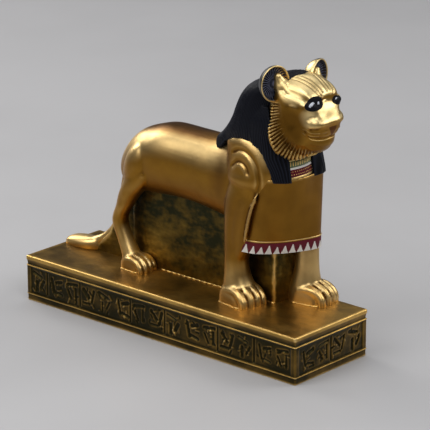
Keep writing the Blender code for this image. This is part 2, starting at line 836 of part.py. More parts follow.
def field_spans():
    """Each side's number, its sunk field's length, and the field's low and high edge."""
    low = FOOT_HEIGHT + BEAD_HEIGHT + FIELD_EDGE
    high = PLINTH_HEIGHT - LIP_DEPTH - COVE_DEPTH - BEAD_HEIGHT - FIELD_EDGE
    for side in range(4):
        length = (PLINTH_LENGTH if side % 2 == 0 else PLINTH_WIDTH) - 2 * (PANEL_INSET + CORNER_STRIP)
        yield side, length, low, high


def fields(home):
    """The cutter for the four sunk fields."""
    builder = bmesh.new()
    for side, length, low, high in field_spans():
        side_box(builder, side, 0.0, (low + high) / 2, length, high - low, FIELD_DEPTH)
    return object_from(builder, "fields", home)


# The strokes of a cell: across and up the cell as shares, length and tilt, by turns
CELLS = [
    [(0.35, 0.80, 0.50, 18.0), (0.30, 0.28, 0.40, 90.0), (0.66, 0.40, 0.36, -60.0)],
    [(0.30, 0.52, 0.62, 78.0), (0.68, 0.74, 0.34, -20.0), (0.68, 0.24, 0.36, 12.0)],
    [(0.50, 0.84, 0.56, -8.0), (0.32, 0.38, 0.42, 62.0), (0.72, 0.44, 0.52, 90.0)],
    [(0.34, 0.22, 0.40, 0.0), (0.34, 0.64, 0.44, 48.0), (0.74, 0.56, 0.56, -74.0)],
]


def strokes(home):
    """The cutter for the rows of shallow strokes, cell after cell with a line between cells."""
    builder = bmesh.new()
    depth = FIELD_DEPTH + STROKE_DEPTH
    for side, length, low, high in field_spans():
        count = round(length / STROKE_CELL)
        cell = length / count
        room = high - low - 2 * STROKE_MARGIN
        for i in range(count):
            left = -length / 2 + i * cell
            if i:
                side_box(builder, side, left, (low + high) / 2, STROKE_WIDTH, room, depth)
            for across, up, share, tilt in CELLS[(i + side) % len(CELLS)]:
                side_box(
                    builder,
                    side,
                    left + STROKE_WIDTH + across * (cell - STROKE_WIDTH),
                    low + STROKE_MARGIN + up * room,
                    share * cell,
                    STROKE_WIDTH,
                    depth,
                    tilt,
                )
    return object_from(builder, "strokes", home)


def carve(base, cutter, tag):
    """Takes the cutter out of base."""
    taken = base.modifiers.new(tag, "BOOLEAN")
    taken.operation = "DIFFERENCE"
    taken.solver = "EXACT"
    taken.object = cutter


def slab(home, name, outlines):
    """A closed form between two upright outlines, each given with its side in metres."""
    builder = bmesh.new()
    rings = []
    for side, outline in outlines:
        ring = []
        for x, z in outline:
            point = on_figure(x, 0.0, z)
            ring.append((point.x, FIGURE_SHIFT + side, max(point.z, PLINTH_HEIGHT - WEB_SINK)))
        rings.append(ring)
    skin(builder, rings)
    return object_from(builder, name, home)


# The webs seen from the side: where the belly web ends ahead on each face, and the tail web
BELLY_WEB_FRONT = {-WEB_RIGHT: 57.0, WEB_LEFT: 60.5}
TAIL_WEB = [
    (-79.0, -2.0),
    (-40.0, -2.0),
    (-40.0, 56.0),
    (-50.0, 50.0),
    (-59.0, 28.0),
    (-66.5, 13.0),
    (-73.0, 7.0),
    (-79.0, 2.5),
]


def webs(home):
    """The panel under the belly, and the thinner one from the hind legs to the tail."""
    belly = [
        (side, [(-46.0, -2.0), (front, -2.0), (front, 58.0), (-40.0, 58.0), (-46.0, 40.0)])
        for side, front in BELLY_WEB_FRONT.items()
    ]
    yield slab(home, "web", belly)
    faces = (WEB_STEP_AT_TAIL - WEB_RIGHT, WEB_LEFT_AT_TAIL)
    yield slab(home, "tail_web", [(side, TAIL_WEB) for side in faces])


def join(base, others):
    """Unites base with the others, one after another."""
    for other in others:
        union = base.modifiers.new("with " + other.name, "BOOLEAN")
        union.operation = "UNION"
        union.solver = "EXACT"
        union.object = other
    bake(base)
    for other in others:
        bpy.data.objects.remove(other)
    return base


def settle(obj):
    """Moves the statue so that its origin is under the middle of its box."""
    points = np.array([vertex.co for vertex in obj.data.vertices])
    low = points.min(axis=0)
    high = points.max(axis=0)
    middle = (low + high) / 2
    obj.data.transform(Matrix.Translation((-middle[0], -middle[1], -low[2])))


def main():
    clear_scene()
    home = collection("lioness_statue")
    helpers = collection("cutters", hidden=True)
    base = plinth(home)
    for tag, cutter in (("sunk fields", fields(helpers)), ("strokes", strokes(helpers))):
        cutter.display_type = "WIRE"
        carve(base, cutter, tag)
    bake(base)
    statue = join(base, [*webs(home), figure(home)])
    settle(statue)
    statue.name = NODE_NAME
    statue.data.name = NODE_NAME
    statue.data.materials.clear()
    statue.data.materials.append(material("gold", GOLD, 0.35, 1.0))
    statue.data.shade_smooth()
    statue.data.set_sharp_from_angle(angle=math.radians(40))


main()
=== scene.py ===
"""A gold-painted lioness in a striped wig, cast in one with its web and inscribed plinth.

The figure is carved in millimetres in a frame of its own: x ahead, y to its left, z up
from the plinth's top. Every piece is a closed mesh and stands for the one cast solid.
"""

from __future__ import annotations

import logging
import math
from collections.abc import Callable
from dataclasses import dataclass
from enum import Enum

import bmesh
import bpy
import numpy as np
from mathutils import Euler, Matrix, Vector
from mathutils.bvhtree import BVHTree

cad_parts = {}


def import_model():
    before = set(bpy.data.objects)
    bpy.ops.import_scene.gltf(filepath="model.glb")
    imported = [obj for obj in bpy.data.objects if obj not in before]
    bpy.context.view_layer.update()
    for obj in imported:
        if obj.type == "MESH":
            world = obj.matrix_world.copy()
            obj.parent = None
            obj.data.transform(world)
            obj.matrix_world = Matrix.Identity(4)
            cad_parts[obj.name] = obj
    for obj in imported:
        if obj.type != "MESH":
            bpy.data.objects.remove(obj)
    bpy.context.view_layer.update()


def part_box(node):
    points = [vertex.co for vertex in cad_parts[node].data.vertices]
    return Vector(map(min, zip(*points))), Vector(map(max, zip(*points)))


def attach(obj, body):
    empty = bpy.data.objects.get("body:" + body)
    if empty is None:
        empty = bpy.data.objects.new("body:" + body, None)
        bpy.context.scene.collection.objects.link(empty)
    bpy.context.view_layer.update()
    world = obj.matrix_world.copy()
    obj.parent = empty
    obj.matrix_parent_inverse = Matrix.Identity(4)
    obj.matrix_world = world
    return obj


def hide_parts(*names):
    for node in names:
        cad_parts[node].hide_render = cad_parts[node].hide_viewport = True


LOG = logging.getLogger("lioness")

NODE = "lioness_statue"
BODY = "root"
MM = 0.001

Row = tuple[float, ...]
Rows = tuple[Row, ...]
Ring = list[Vector]
Path = list[tuple[float, float]]
Colour = tuple[float, float, float, float]

PLINTH_HALF_WIDTH = 0.030
ANIMAL_ASIDE = 0.0075
CARVED_ZERO = 0.0259


class Side(Enum):
    """The two sides of the animal."""

    RIGHT = -1
    LEFT = 1

    @property
    def word(self) -> str:
        """The side's name in the names of pieces."""
        return self.name.lower()


@dataclass(frozen=True)
class Space:
    """Where the carved millimetres lie in the statue's frame.

    Attributes:
        middle_y: Height of the animal's middle plane on the frame's y axis, in metres.
        base_z: Where carved height zero is, in metres.
    """

    middle_y: float
    base_z: float

    def at(self, x: float, y: float, z: float) -> Vector:
        """A carved point, in metres in the statue's frame."""
        return Vector((x * MM, y * MM + self.middle_y, z * MM + self.base_z))

    def origin(self) -> np.ndarray:
        """The carved frame's origin, in metres."""
        return np.array((0.0, self.middle_y, self.base_z))


def smooth_rows(rows: Rows, per_gap: int) -> list[np.ndarray]:
    """Catmull-Rom rows between rows of numbers.

    Args:
        rows: Rows of equal length.
        per_gap: How many rows each gap becomes.

    Returns:
        The denser rows, the first and the last kept.
    """
    table = np.array(rows, float)
    padded = np.vstack([2 * table[0] - table[1], table, 2 * table[-1] - table[-2]])
    out = []
    for i in range(len(table) - 1):
        a, b, c, d = padded[i : i + 4]
        for t in np.linspace(0, 1, per_gap, endpoint=False):
            bend = (2 * a - 5 * b + 4 * c - d) * t * t
            out.append(0.5 * (2 * b + (c - a) * t + bend + (3 * b - a - 3 * c + d) * t**3))
    out.append(table[-1])
    return out


def smooth_loop(loop: Rows | list, per_gap: int) -> list[np.ndarray]:
    """Catmull-Rom rows round a closed loop of rows."""
    count = len(loop)
    looped = tuple(loop[i % count] for i in range(-1, count + 2))
    return smooth_rows(looped, per_gap)[per_gap : per_gap * (count + 1)]


def risen(values: np.ndarray, start: float | np.ndarray, span: float) -> np.ndarray:
    """How far values have come from start over a span, which may run down, held between 0 and 1."""
    return np.clip((values - start) / span, 0.0, 1.0)


def eased(share: np.ndarray) -> np.ndarray:
    """Shares from 0 to 1 with their ends made soft."""
    return share * share * (3.0 - 2.0 * share)


def rounded(value: float, power: float) -> float:
    """A cosine or sine drawn out, so that a section of this squareness comes from it."""
    return math.copysign(abs(value) ** (2 / power), value)


def turns(steps: int) -> list[float]:
    """Equal turns round a circle, in radians."""
    return [2 * math.pi * i / steps for i in range(steps)]


def skin_rings(builder: bmesh.types.BMesh, rings: list[Ring], closed: bool = False) -> None:
    """Joins closed rings of equal count with quads and caps both ends.

    Args:
        builder: The mesh that takes the form.
        rings: Rings of points, in order along the form.
        closed: True if the last ring joins the first, which leaves no ends.
    """
    rows = [[builder.verts.new(point) for point in ring] for ring in rings]
    count = len(rows[0])
    for lower, upper in zip(rows, rows[1:] + rows[: int(closed)]):
        for i in range(count):
            j = (i + 1) % count
            builder.faces.new((lower[i], lower[j], upper[j], upper[i]))
    if not closed:
        builder.faces.new(list(reversed(rows[0])))
        builder.faces.new(rows[-1])


def object_from(builder: bmesh.types.BMesh, name: str) -> bpy.types.Object:
    """Links a finished builder as a new smooth-shaded object.

    Args:
        builder: The mesh to turn into an object; it is freed.
        name: The object's name.

    Returns:
        The new object.
    """
    mesh = bpy.data.meshes.new(name)
    bmesh.ops.recalc_face_normals(builder, faces=builder.faces)
    builder.to_mesh(mesh)
    builder.free()
    mesh.shade_smooth()
    made = bpy.data.objects.new(name, mesh)
    bpy.context.scene.collection.objects.link(made)
    return made


def object_through(name: str, rings: list[Ring], closed: bool = False) -> bpy.types.Object:
    """A new object whose surface runs through rings of points."""
    builder = bmesh.new()
    skin_rings(builder, rings, closed)
    return object_from(builder, name)


def bake(obj: bpy.types.Object) -> None:
    """Replaces the object's mesh by what its modifiers make of it."""
    graph = bpy.context.evaluated_depsgraph_get()
    mesh = bpy.data.meshes.new_from_object(obj.evaluated_get(graph))
    obj.modifiers.clear()
    obj.data = mesh
    mesh.shade_smooth()


@dataclass(frozen=True)
class Hollow:
    """A soft hollow, or a patch of painted shade or highlight, the same on both sides of the animal.

    Attributes:
        centre: Its middle on the left side, carved.
        radii: Its reach along x, y and z, carved.
        depth: How far in it goes at the middle, or how strong the painted shade or highlight is there.
    """

    centre: Row
    radii: Row
    depth: float

    def gap(self, folded: np.ndarray) -> np.ndarray:
        """How far each point is from the middle: squared, and 1 at the edge."""
        return (((folded - self.centre) / self.radii) ** 2).sum(axis=1)


@dataclass(frozen=True)
class Line:
    """A line carved into a skin.

    Attributes:
        width: Half its width, carved.
        height: How far out it stands, or in when negative.
        path: Points on the skin, carved.
    """

    width: float
    height: float
    path: Rows


class Clay:
    """Closed forms that are run together into one skin."""

    SECTION_STEPS = 48

    def __init__(self, space: Space) -> None:
        """Starts with no forms in this space."""
        self.space = space
        self.builder = bmesh.new()

    def ring_x(self, x: float, y: float, z: float, half_y: float, half_z: float, power: float) -> Ring:
        """A rounded section that faces along the body."""
        return [
            self.space.at(
                x, y + half_y * rounded(math.cos(a), power), z + half_z * rounded(math.sin(a), power)
            )
            for a in turns(self.SECTION_STEPS)
        ]

    def ring_z(self, x: float, y: float, z: float, half_x: float, half_y: float, power: float) -> Ring:
        """A rounded section that lies level."""
        return [
            self.space.at(
                x + half_x * rounded(math.cos(a), power), y + half_y * rounded(math.sin(a), power), z
            )
            for a in turns(self.SECTION_STEPS)
        ]

    def loft_x(self, rows: Rows) -> None:
        """Adds a form through upright sections."""
        skin_rings(self.builder, [self.ring_x(*row) for row in smooth_rows(rows, 5)])

    def loft_z(self, rows: Rows) -> None:
        """Adds a form through level sections."""
        skin_rings(self.builder, [self.ring_z(*row) for row in smooth_rows(rows, 5)])

    def lump(self, centre: Row, radii: Row, pitch: float = 0.0, yaw: float = 0.0, roll: float = 0.0) -> None:
        """Adds an ellipsoid, tipped nose down by pitch and turned left by yaw.

        Args:
            centre: Its middle, carved.
            radii: Its half lengths, carved.
            pitch: Degrees nose down.
            yaw: Degrees to the left.
            roll: Degrees about its own length.
        """
        turn = Euler((math.radians(roll), math.radians(pitch), math.radians(yaw)), "XYZ").to_matrix()
        place = Matrix.Translation(self.space.at(*centre)) @ turn.to_4x4()
        made = bmesh.ops.create_uvsphere(self.builder, u_segments=40, v_segments=24, radius=MM)["verts"]
        bmesh.ops.transform(self.builder, matrix=place @ Matrix.Diagonal((*radii, 1.0)), verts=made)

    def tube(self, rows: Rows, sides: int = 16, caps: int = 4) -> None:
        """Adds a round tube with domed ends.

        Args:
            rows: (x, y, z, radius) rows, carved.
            sides: How many sides it has.
            caps: How many rings round off each end.
        """
        spots = [(self.space.at(*row[:3]), row[3] * MM) for row in smooth_rows(rows, 5)]
        lift = Vector((0.0, 1.0, 0.0))
        rings = []
        for i, (centre, radius) in enumerate(spots):
            ahead = spots[min(i + 1, len(spots) - 1)][0] - spots[max(i - 1, 0)][0]
            ahead.normalize()
            across = ahead.cross(lift).normalized()
            lift = across.cross(ahead).normalized()
            domes = [(0.0, 1.0)]
            if i == 0:
                domes = [(-math.cos(t), math.sin(t)) for t in np.linspace(0.15, math.pi / 2, caps)]
            if i == len(spots) - 1:
                domes = [(math.sin(t), math.cos(t)) for t in np.linspace(0, math.pi / 2 - 0.15, caps)]
            for along, share in domes:
                middle = centre + ahead * along * radius
                rings.append(
                    [
                        middle + (across * math.cos(a) + lift * math.sin(a)) * radius * share
                        for a in turns(sides)
                    ]
                )
        skin_rings(self.builder, rings)

    def skin(self, name: str, voxel: float, passes: int) -> "Skin":
        """Runs the forms together.

        Args:
            name: The piece's name.
            voxel: Size of the remesh's cells, in metres.
            passes: How often the skin is smoothed.

        Returns:
            The skin, ready to be pressed.
        """
        made = object_from(self.builder, name)
        remesh = made.modifiers.new("run together", "REMESH")
        remesh.mode = "VOXEL"
        remesh.voxel_size = voxel
        smooth = made.modifiers.new("soften", "SMOOTH")
        smooth.factor = 0.5
        smooth.iterations = passes
        bake(made)
        return Skin(made, self.space)


class Skin:
    """A piece's mesh as numbers, so that relief can be pressed into it."""

    CLEAR_OF_SIDES = 40.0

    def __init__(self, obj: bpy.types.Object, space: Space) -> None:
        """Reads the object's vertices, normals and edges."""
        self.obj = obj
        self.space = space
        self.count = len(obj.data.vertices)
        edges = np.empty(len(obj.data.edges) * 2, int)
        obj.data.edges.foreach_get("vertices", edges)
        self.edges = edges.reshape(-1, 2)
        self.read()

    def read(self) -> None:
        """Takes the places and normals from the mesh, in carved millimetres."""
        flat = np.empty(self.count * 3)
        self.obj.data.vertices.foreach_get("co", flat)
        self.points = (flat.reshape(-1, 3) - self.space.origin()) / MM
        flat = np.empty(self.count * 3)
        self.obj.data.vertex_normals.foreach_get("vector", flat)
        self.normals = flat.reshape(-1, 3)

    def write(self) -> None:
        """Puts the places back into the mesh."""
        flat = (self.points * MM + self.space.origin()).ravel()
        self.obj.data.vertices.foreach_set("co", flat)
        self.obj.data.update()

    def folded(self) -> np.ndarray:
        """The points with both sides laid on the left one."""
        folded = self.points.copy()
        folded[:, 1] = np.abs(folded[:, 1])
        return folded

    def spread(self, values: np.ndarray, times: int) -> np.ndarray:
        """Averages values over neighbouring vertices.

        Args:
            values: One number, or one row of numbers, for each vertex.
            times: How many rounds of averaging.

        Returns:
            The averaged values.
        """
        ends = np.bincount(self.edges.ravel(), minlength=self.count).clip(1)
        for _ in range(times):
            total = np.zeros_like(values)
            np.add.at(total, self.edges[:, 0], values[self.edges[:, 1]])
            np.add.at(total, self.edges[:, 1], values[self.edges[:, 0]])
            values = total / (ends[:, None] if values.ndim > 1 else ends)
        return values

    def push(self, out: np.ndarray) -> None:
        """Moves every vertex along its normal by out, carved."""
        self.points = self.points + self.normals * out[:, None]
        self.write()
        self.read()

    def hollow(self, hollows: list[Hollow]) -> None:
        """Presses soft hollows into both sides."""
        folded = self.folded()
        out = np.zeros(self.count)
        for item in hollows:
            out -= item.depth * np.clip(1.0 - item.gap(folded), 0.0, None) ** 2
        self.push(out)

    def carve(self, lines: list[Line], both: bool = True) -> np.ndarray:
        """Carves lines into the skin.

        Args:
            lines: What to carve.
            both: True if the lines are carved on both sides from points on the left one.

        Returns:
            How strongly each vertex is part of a line, from 0 to 1.
        """
        where = self.folded() if both else self.points
        out = np.zeros(self.count)
        touched = np.zeros(self.count)
        for line in lines:
            path = np.array(smooth_rows(line.path, 10))
            low = path.min(axis=0) - line.width
            high = path.max(axis=0) + line.width
            near = np.flatnonzero(((where > low) & (where < high)).all(axis=1))
            if not len(near):
                continue
            gap = np.full(len(near), np.inf)
            for spot in path:
                gap = np.minimum(gap, ((where[near] - spot) ** 2).sum(axis=1))
            share = np.clip(1.0 - gap / line.width**2, 0.0, None) ** 1.5
            out[near] += line.height * share
            touched[near] = np.maximum(touched[near], share)
        self.push(out)
        return touched

    def soften(self, times: int) -> None:
        """Smooths the skin a little."""
        for _ in range(times):
            self.points = 0.5 * self.points + 0.5 * self.spread(self.points, 1)
        self.write()
        self.read()

    def note(self, name: str, values: np.ndarray) -> None:
        """Keeps a number for each vertex as an attribute that a material reads."""
        layer = self.obj.data.attributes.new(name, "FLOAT", "POINT")
        layer.data.foreach_set("value", values.astype(np.float32))

    def note_shading_and_wear(
        self,
        strength: float = 1.0,
        reach: int = 3,
        shaded_top: np.ndarray | None = None,
        least_highlight: float | np.ndarray = 0.0,
    ) -> None:
        """Notes how sunk and how proud each vertex is, and how much painted highlight it takes from looking
        up.

        Args:
            strength: How quickly a bend counts as fully sunk or proud.
            reach: How many rounds the bend is averaged over.
            shaded_top: How much of that painted highlight is taken away again, as painted shade, for each
                vertex.
            least_highlight: How much painted highlight the faces get that don't look up.
        """
        bend = ((self.spread(self.points, 2) - self.points) * self.normals).sum(axis=1)
        bend = self.spread(bend, reach) * strength
        # Sunk places take painted shade with some grime, proud ones painted highlights with some rubbed
        # wear.
        self.note("sunk", np.clip(bend, 0.0, 1.0))
        self.note("proud", np.clip(-bend, 0.0, 1.0))
        # Painted highlight: faces that look up take the finish's lighter colour.
        lit_share = eased(risen(self.spread(self.normals[:, 2], reach), 0.08, 0.5))
        lit_share = np.maximum(lit_share, least_highlight)
        self.note("polished", lit_share * (1.0 if shaded_top is None else 1.0 - shaded_top))

    def settled(self, path: Rows) -> Rows:
        """The path with each point moved sideways onto the skin's left side."""
        tree = BVHTree.FromObject(self.obj, bpy.context.evaluated_depsgraph_get())
        made = []
        for x, y, z in path:
            start = self.space.at(x, self.CLEAR_OF_SIDES, z)
            hit, _, _, _ = tree.ray_cast(start, Vector((0.0, -1.0, 0.0)))
            made.append((x, y if hit is None else (hit.y - self.space.middle_y) / MM, z))
        return tuple(made)


class Tree:
    """Builds one node tree, a node at a time."""

    def __init__(self, tree: bpy.types.NodeTree) -> None:
        """Starts on an existing tree."""
        self.tree = tree

    def node(self, kind: str, settings: dict | None = None, **inputs: object) -> bpy.types.Node:
        """Adds a node.

        Args:
            kind: The node's type name.
            settings: Attributes to set on it.
            inputs: Input names, with spaces as underscores, to values or output sockets.

        Returns:
            The node.
        """
        made = self.tree.nodes.new(kind)
        for name, value in (settings or {}).items():
            setattr(made, name, value)
        for name, value in inputs.items():
            self.feed(made.inputs[name.replace("_", " ")], value)
        return made

    def feed(self, socket: bpy.types.NodeSocket, value: object) -> None:
        """Links an output socket to this input, or sets the input's value."""
        if isinstance(value, bpy.types.NodeSocket):
            self.tree.links.new(value, socket)
        else:
            socket.default_value = value

    def math(self, operation: str, a: object, b: object = 0.0, clamp: bool = False) -> bpy.types.NodeSocket:
        """One sum of two numbers."""
        made = self.tree.nodes.new("ShaderNodeMath")
        made.operation = operation
        made.use_clamp = clamp
        self.feed(made.inputs[0], a)
        self.feed(made.inputs[1], b)
        return made.outputs[0]

    def mix(self, share: object, a: object, b: object) -> bpy.types.NodeSocket:
        """A colour between a and b."""
        made = self.node("ShaderNodeMix", {"data_type": "RGBA"}, Factor=share, A=a, B=b)
        return made.outputs["Result"]

    def ramp(self, value: object, low: float, high: float) -> bpy.types.NodeSocket:
        """A smooth step of value from low to high."""
        kind = {"interpolation_type": "SMOOTHSTEP"}
        made = self.node("ShaderNodeMapRange", kind, Value=value, From_Min=low, From_Max=high)
        return made.outputs["Result"]

    def noise(self, scale: float, detail: float, stretch: Row = (1.0, 1.0, 1.0)) -> bpy.types.NodeSocket:
        """Noise over the object's own coordinates."""
        where = self.tree.nodes.new("ShaderNodeTexCoord").outputs["Object"]
        placed = self.node("ShaderNodeMapping", Vector=where, Scale=stretch)
        made = self.node(
            "ShaderNodeTexNoise", Vector=placed.outputs["Vector"], Scale=scale, Detail=detail
        )
        return made.outputs["Fac"]

    def attribute(self, name: str) -> bpy.types.NodeSocket:
        """The mesh attribute of this name, as a number."""
        return self.node("ShaderNodeAttribute", {"attribute_name": name}).outputs["Fac"]


class Effects:
    """The node groups that more than one finish uses, each built once."""

    def __init__(self) -> None:
        """Builds the groups."""
        self.grain = self.build_grain()
        self.wear_and_light = self.build_wear_and_light()

    @staticmethod
    def new_group(name: str, ins: dict[str, str], outs: dict[str, str]) -> bpy.types.NodeTree:
        """An empty group with its sockets.

        Args:
            name: The group's name.
            ins: Input names to socket types.
            outs: Output names to socket types.

        Returns:
            The group.
        """
        group = bpy.data.node_groups.new(name, "ShaderNodeTree")
        for label, kind in ins.items():
            group.interface.new_socket(label, in_out="INPUT", socket_type=kind)
        for label, kind in outs.items():
            group.interface.new_socket(label, in_out="OUTPUT", socket_type=kind)
        return group

    def build_grain(self) -> bpy.types.NodeTree:
        """Hand-cast unevenness: a height for bump and a soft mottle."""
        group = self.new_group("cast grain", {}, {"Height": "NodeSocketFloat", "Mottle": "NodeSocketFloat"})
        tree = Tree(group)
        out = tree.node("NodeGroupOutput")
        swell = tree.noise(220.0, 2.0)
        fine = tree.noise(1500.0, 3.0)
        tree.feed(out.inputs["Height"], tree.math("ADD", swell, tree.math("MULTIPLY", fine, 0.25)))
        tree.feed(out.inputs["Mottle"], tree.ramp(tree.noise(95.0, 5.0), 0.35, 0.68))
        return group

    def build_wear_and_light(self) -> bpy.types.NodeTree:
        """Colour and roughness of a finish: painted shade with some grime in its hollows, painted highlights
        with some rubbed wear on its ridges, a painted highlight on faces that look up, and a random mottle.
        """
        kinds = {
            "Base": "NodeSocketColor",
            "Hollow": "NodeSocketColor",
            "Ridge": "NodeSocketColor",
            "Polished": "NodeSocketColor",
            "Mottle": "NodeSocketFloat",
            "Base Roughness": "NodeSocketFloat",
        }
        group = self.new_group("wear_and_light", kinds, {"Color": "NodeSocketColor", "Roughness": "NodeSocketFloat"})
        tree = Tree(group)
        given = tree.node("NodeGroupInput").outputs
        out = tree.node("NodeGroupOutput")
        sunk = tree.ramp(tree.attribute("sunk"), 0.06, 0.85)
        proud = tree.ramp(tree.attribute("proud"), 0.10, 0.90)
        # Painted highlight on faces that look up.
        shade = tree.mix(tree.attribute("polished"), given["Base"], given["Polished"])
        shade = tree.mix(tree.math("MULTIPLY", given["Mottle"], 0.16), shade, given["Hollow"])
        # Painted shade, with some grime, in the hollows; painted highlights, with some rubbed wear, on the
        # ridges.
        shade = tree.mix(sunk, shade, given["Hollow"])
        shade = tree.mix(tree.math("MULTIPLY", proud, 0.7), shade, given["Ridge"])
        tree.feed(out.inputs["Color"], shade)
        rough = tree.math("ADD", given["Base Roughness"], tree.math("MULTIPLY", given["Mottle"], 0.10))
        rough = tree.math("ADD", rough, tree.math("MULTIPLY", sunk, 0.20), clamp=True)
        tree.feed(out.inputs["Roughness"], rough)
        return group


@dataclass(frozen=True)
class Finish:
    """One painted or metallic finish.

    Attributes:
        name: The material's name.
        base: Its colour.
        hollow: Its colour in hollows, a painted shade with some grime; the random mottle leans to it too.
        ridge: Its colour on ridges, a painted highlight with some rubbed wear.
        metallic: Share of metal.
        roughness: Roughness of the flat parts.
        grain: Strength of the cast unevenness.
        specular: Level of the reflection where it isn't metal.
        polished: Its lighter colour on faces that look up, a painted highlight, where it differs.
    """

    name: str
    base: Colour
    hollow: Colour
    ridge: Colour
    metallic: float
    roughness: float
    grain: float = 0.12
    specular: float = 0.5
    polished: Colour | None = None

    def start(self, effects: Effects) -> tuple[bpy.types.Material, Tree, bpy.types.Node, bpy.types.Node]:
        """Starts the material with its grain, and hands out what a special finish adds to."""
        made = bpy.data.materials.new(self.name)
        made.use_nodes = True
        tree = Tree(made.node_tree)
        shader = made.node_tree.nodes["Principled BSDF"]
        shader.inputs["Metallic"].default_value = self.metallic
        shader.inputs["Specular IOR Level"].default_value = self.specular
        grain = tree.node("ShaderNodeGroup", {"node_tree": effects.grain})
        bump = tree.node(
            "ShaderNodeBump", Strength=self.grain, Distance=0.0006, Height=grain.outputs["Height"]
        )
        tree.feed(shader.inputs["Normal"], bump.outputs["Normal"])
        return made, tree, shader, grain

    def build(self, effects: Effects) -> bpy.types.Material:
        """Makes the material.

        Args:
            effects: The shared node groups.

        Returns:
            The material.
        """
        made, tree, shader, grain = self.start(effects)
        worn_and_lit = tree.node(
            "ShaderNodeGroup",
            {"node_tree": effects.wear_and_light},
            Base=self.base,
            Hollow=self.hollow,
            Ridge=self.ridge,
            Polished=self.polished or self.base,
            Mottle=grain.outputs["Mottle"],
            Base_Roughness=self.roughness,
        )
        self.paint(tree, shader, worn_and_lit.outputs["Color"])
        tree.feed(shader.inputs["Roughness"], worn_and_lit.outputs["Roughness"])
        return made

    def paint(self, tree: Tree, shader: bpy.types.Node, colour: bpy.types.NodeSocket) -> None:
        """Feeds the colour with its wear and painted light into the shader; special finishes paint over it
        first.
        """
        tree.feed(shader.inputs["Base Color"], colour)


@dataclass(frozen=True)
class BodyGold(Finish):
    """Gold darkened to brown where the mesh notes painted shade and grime."""

    shade_and_grime: Colour = (0.130, 0.052, 0.012, 1.0)

    def paint(self, tree: Tree, shader: bpy.types.Node, colour: bpy.types.NodeSocket) -> None:
        """Lays the brown painted shade and grime over the gold."""
        shade = tree.mix(tree.math("MULTIPLY", tree.attribute("shade_and_grime"), 0.8), colour, self.shade_and_grime)
        tree.feed(shader.inputs["Base Color"], shade)


@dataclass(frozen=True)
class HeadGold(Finish):
    """Gold with the painted parts of the head."""

    hair: Colour = (0.0035, 0.0038, 0.0060, 1.0)
    leather: Colour = (0.085, 0.020, 0.006, 1.0)
    shade_and_grime: Colour = (0.110, 0.048, 0.006, 1.0)

    def paint(self, tree: Tree, shader: bpy.types.Node, colour: bpy.types.NodeSocket) -> None:
        """Lays the painted shade and grime over the gold, and the hair and the nose leather over both."""
        hair = tree.attribute("hair")
        leather = tree.attribute("leather")
        shade = tree.mix(tree.math("MULTIPLY", tree.attribute("shade_and_grime"), 0.9), colour, self.shade_and_grime)
        shade = tree.mix(hair, shade, self.hair)
        shade = tree.mix(tree.math("MULTIPLY", leather, 0.8), shade, self.leather)
        tree.feed(shader.inputs["Base Color"], shade)
        metal = tree.math("MULTIPLY", tree.math("SUBTRACT", 1.0, hair), self.metallic)
        tree.feed(shader.inputs["Metallic"], metal)


@dataclass(frozen=True)
class StrandPaint(Finish):
    """Dark paint over carved strands, with a painted sheen along their crests."""

    crest_sheen: Colour = (0.013, 0.015, 0.025, 1.0)

    def paint(self, tree: Tree, shader: bpy.types.Node, colour: bpy.types.NodeSocket) -> None:
        """Paints the sheen on the crests."""
        crest_sheen = tree.ramp(tree.attribute("crest_sheen"), 0.35, 0.95)
        shade = tree.mix(tree.math("MULTIPLY", crest_sheen, 0.8), colour, self.crest_sheen)
        tree.feed(shader.inputs["Base Color"], shade)


@dataclass(frozen=True)
class Patina(Finish):
    """Gold that is bright where the mesh notes rub and painted light, and dark with patina elsewhere."""

    dark: Colour = (0.010, 0.010, 0.007, 1.0)
    brown: Colour = (0.115, 0.062, 0.012, 1.0)
    cloud: float = 60.0
    spread: float = 0.9
    speckle: float = 0.5

    def paint(self, tree: Tree, shader: bpy.types.Node, colour: bpy.types.NodeSocket) -> None:
        """Lays dark, brown and gold by how rubbed and lit each place is."""
        clouds = tree.math("SUBTRACT", tree.noise(self.cloud, 6.0, (1.0, 1.0, 1.6)), 0.5)
        fine = tree.math("SUBTRACT", tree.noise(self.cloud * 7.0, 4.0, (0.5, 1.0, 1.0)), 0.5)
        level = tree.math("ADD", tree.attribute("rub_and_light"), tree.math("MULTIPLY", clouds, self.spread))
        level = tree.math("ADD", level, tree.math("MULTIPLY", fine, self.speckle))
        # Proud places take painted glints, sunk places painted shade.
        level = tree.math("ADD", level, tree.math("MULTIPLY", tree.attribute("proud"), 0.75))
        level = tree.math("SUBTRACT", level, tree.math("MULTIPLY", tree.attribute("sunk"), 0.6))
        shade = tree.mix(tree.ramp(level, -0.05, 0.45), self.dark, self.brown)
        shade = tree.mix(tree.ramp(level, 0.35, 1.0), shade, colour)
        tree.feed(shader.inputs["Base Color"], shade)


# The paler colours that the gold finishes take on faces that look up are painted highlights.
GOLD = BodyGold(
    "gold paint",
    (0.31, 0.152, 0.019, 1.0), (0.09, 0.034, 0.005, 1.0), (0.78, 0.50, 0.17, 1.0),
    1.0,
    0.33,
    polished=(0.92, 0.66, 0.29, 1.0),
)
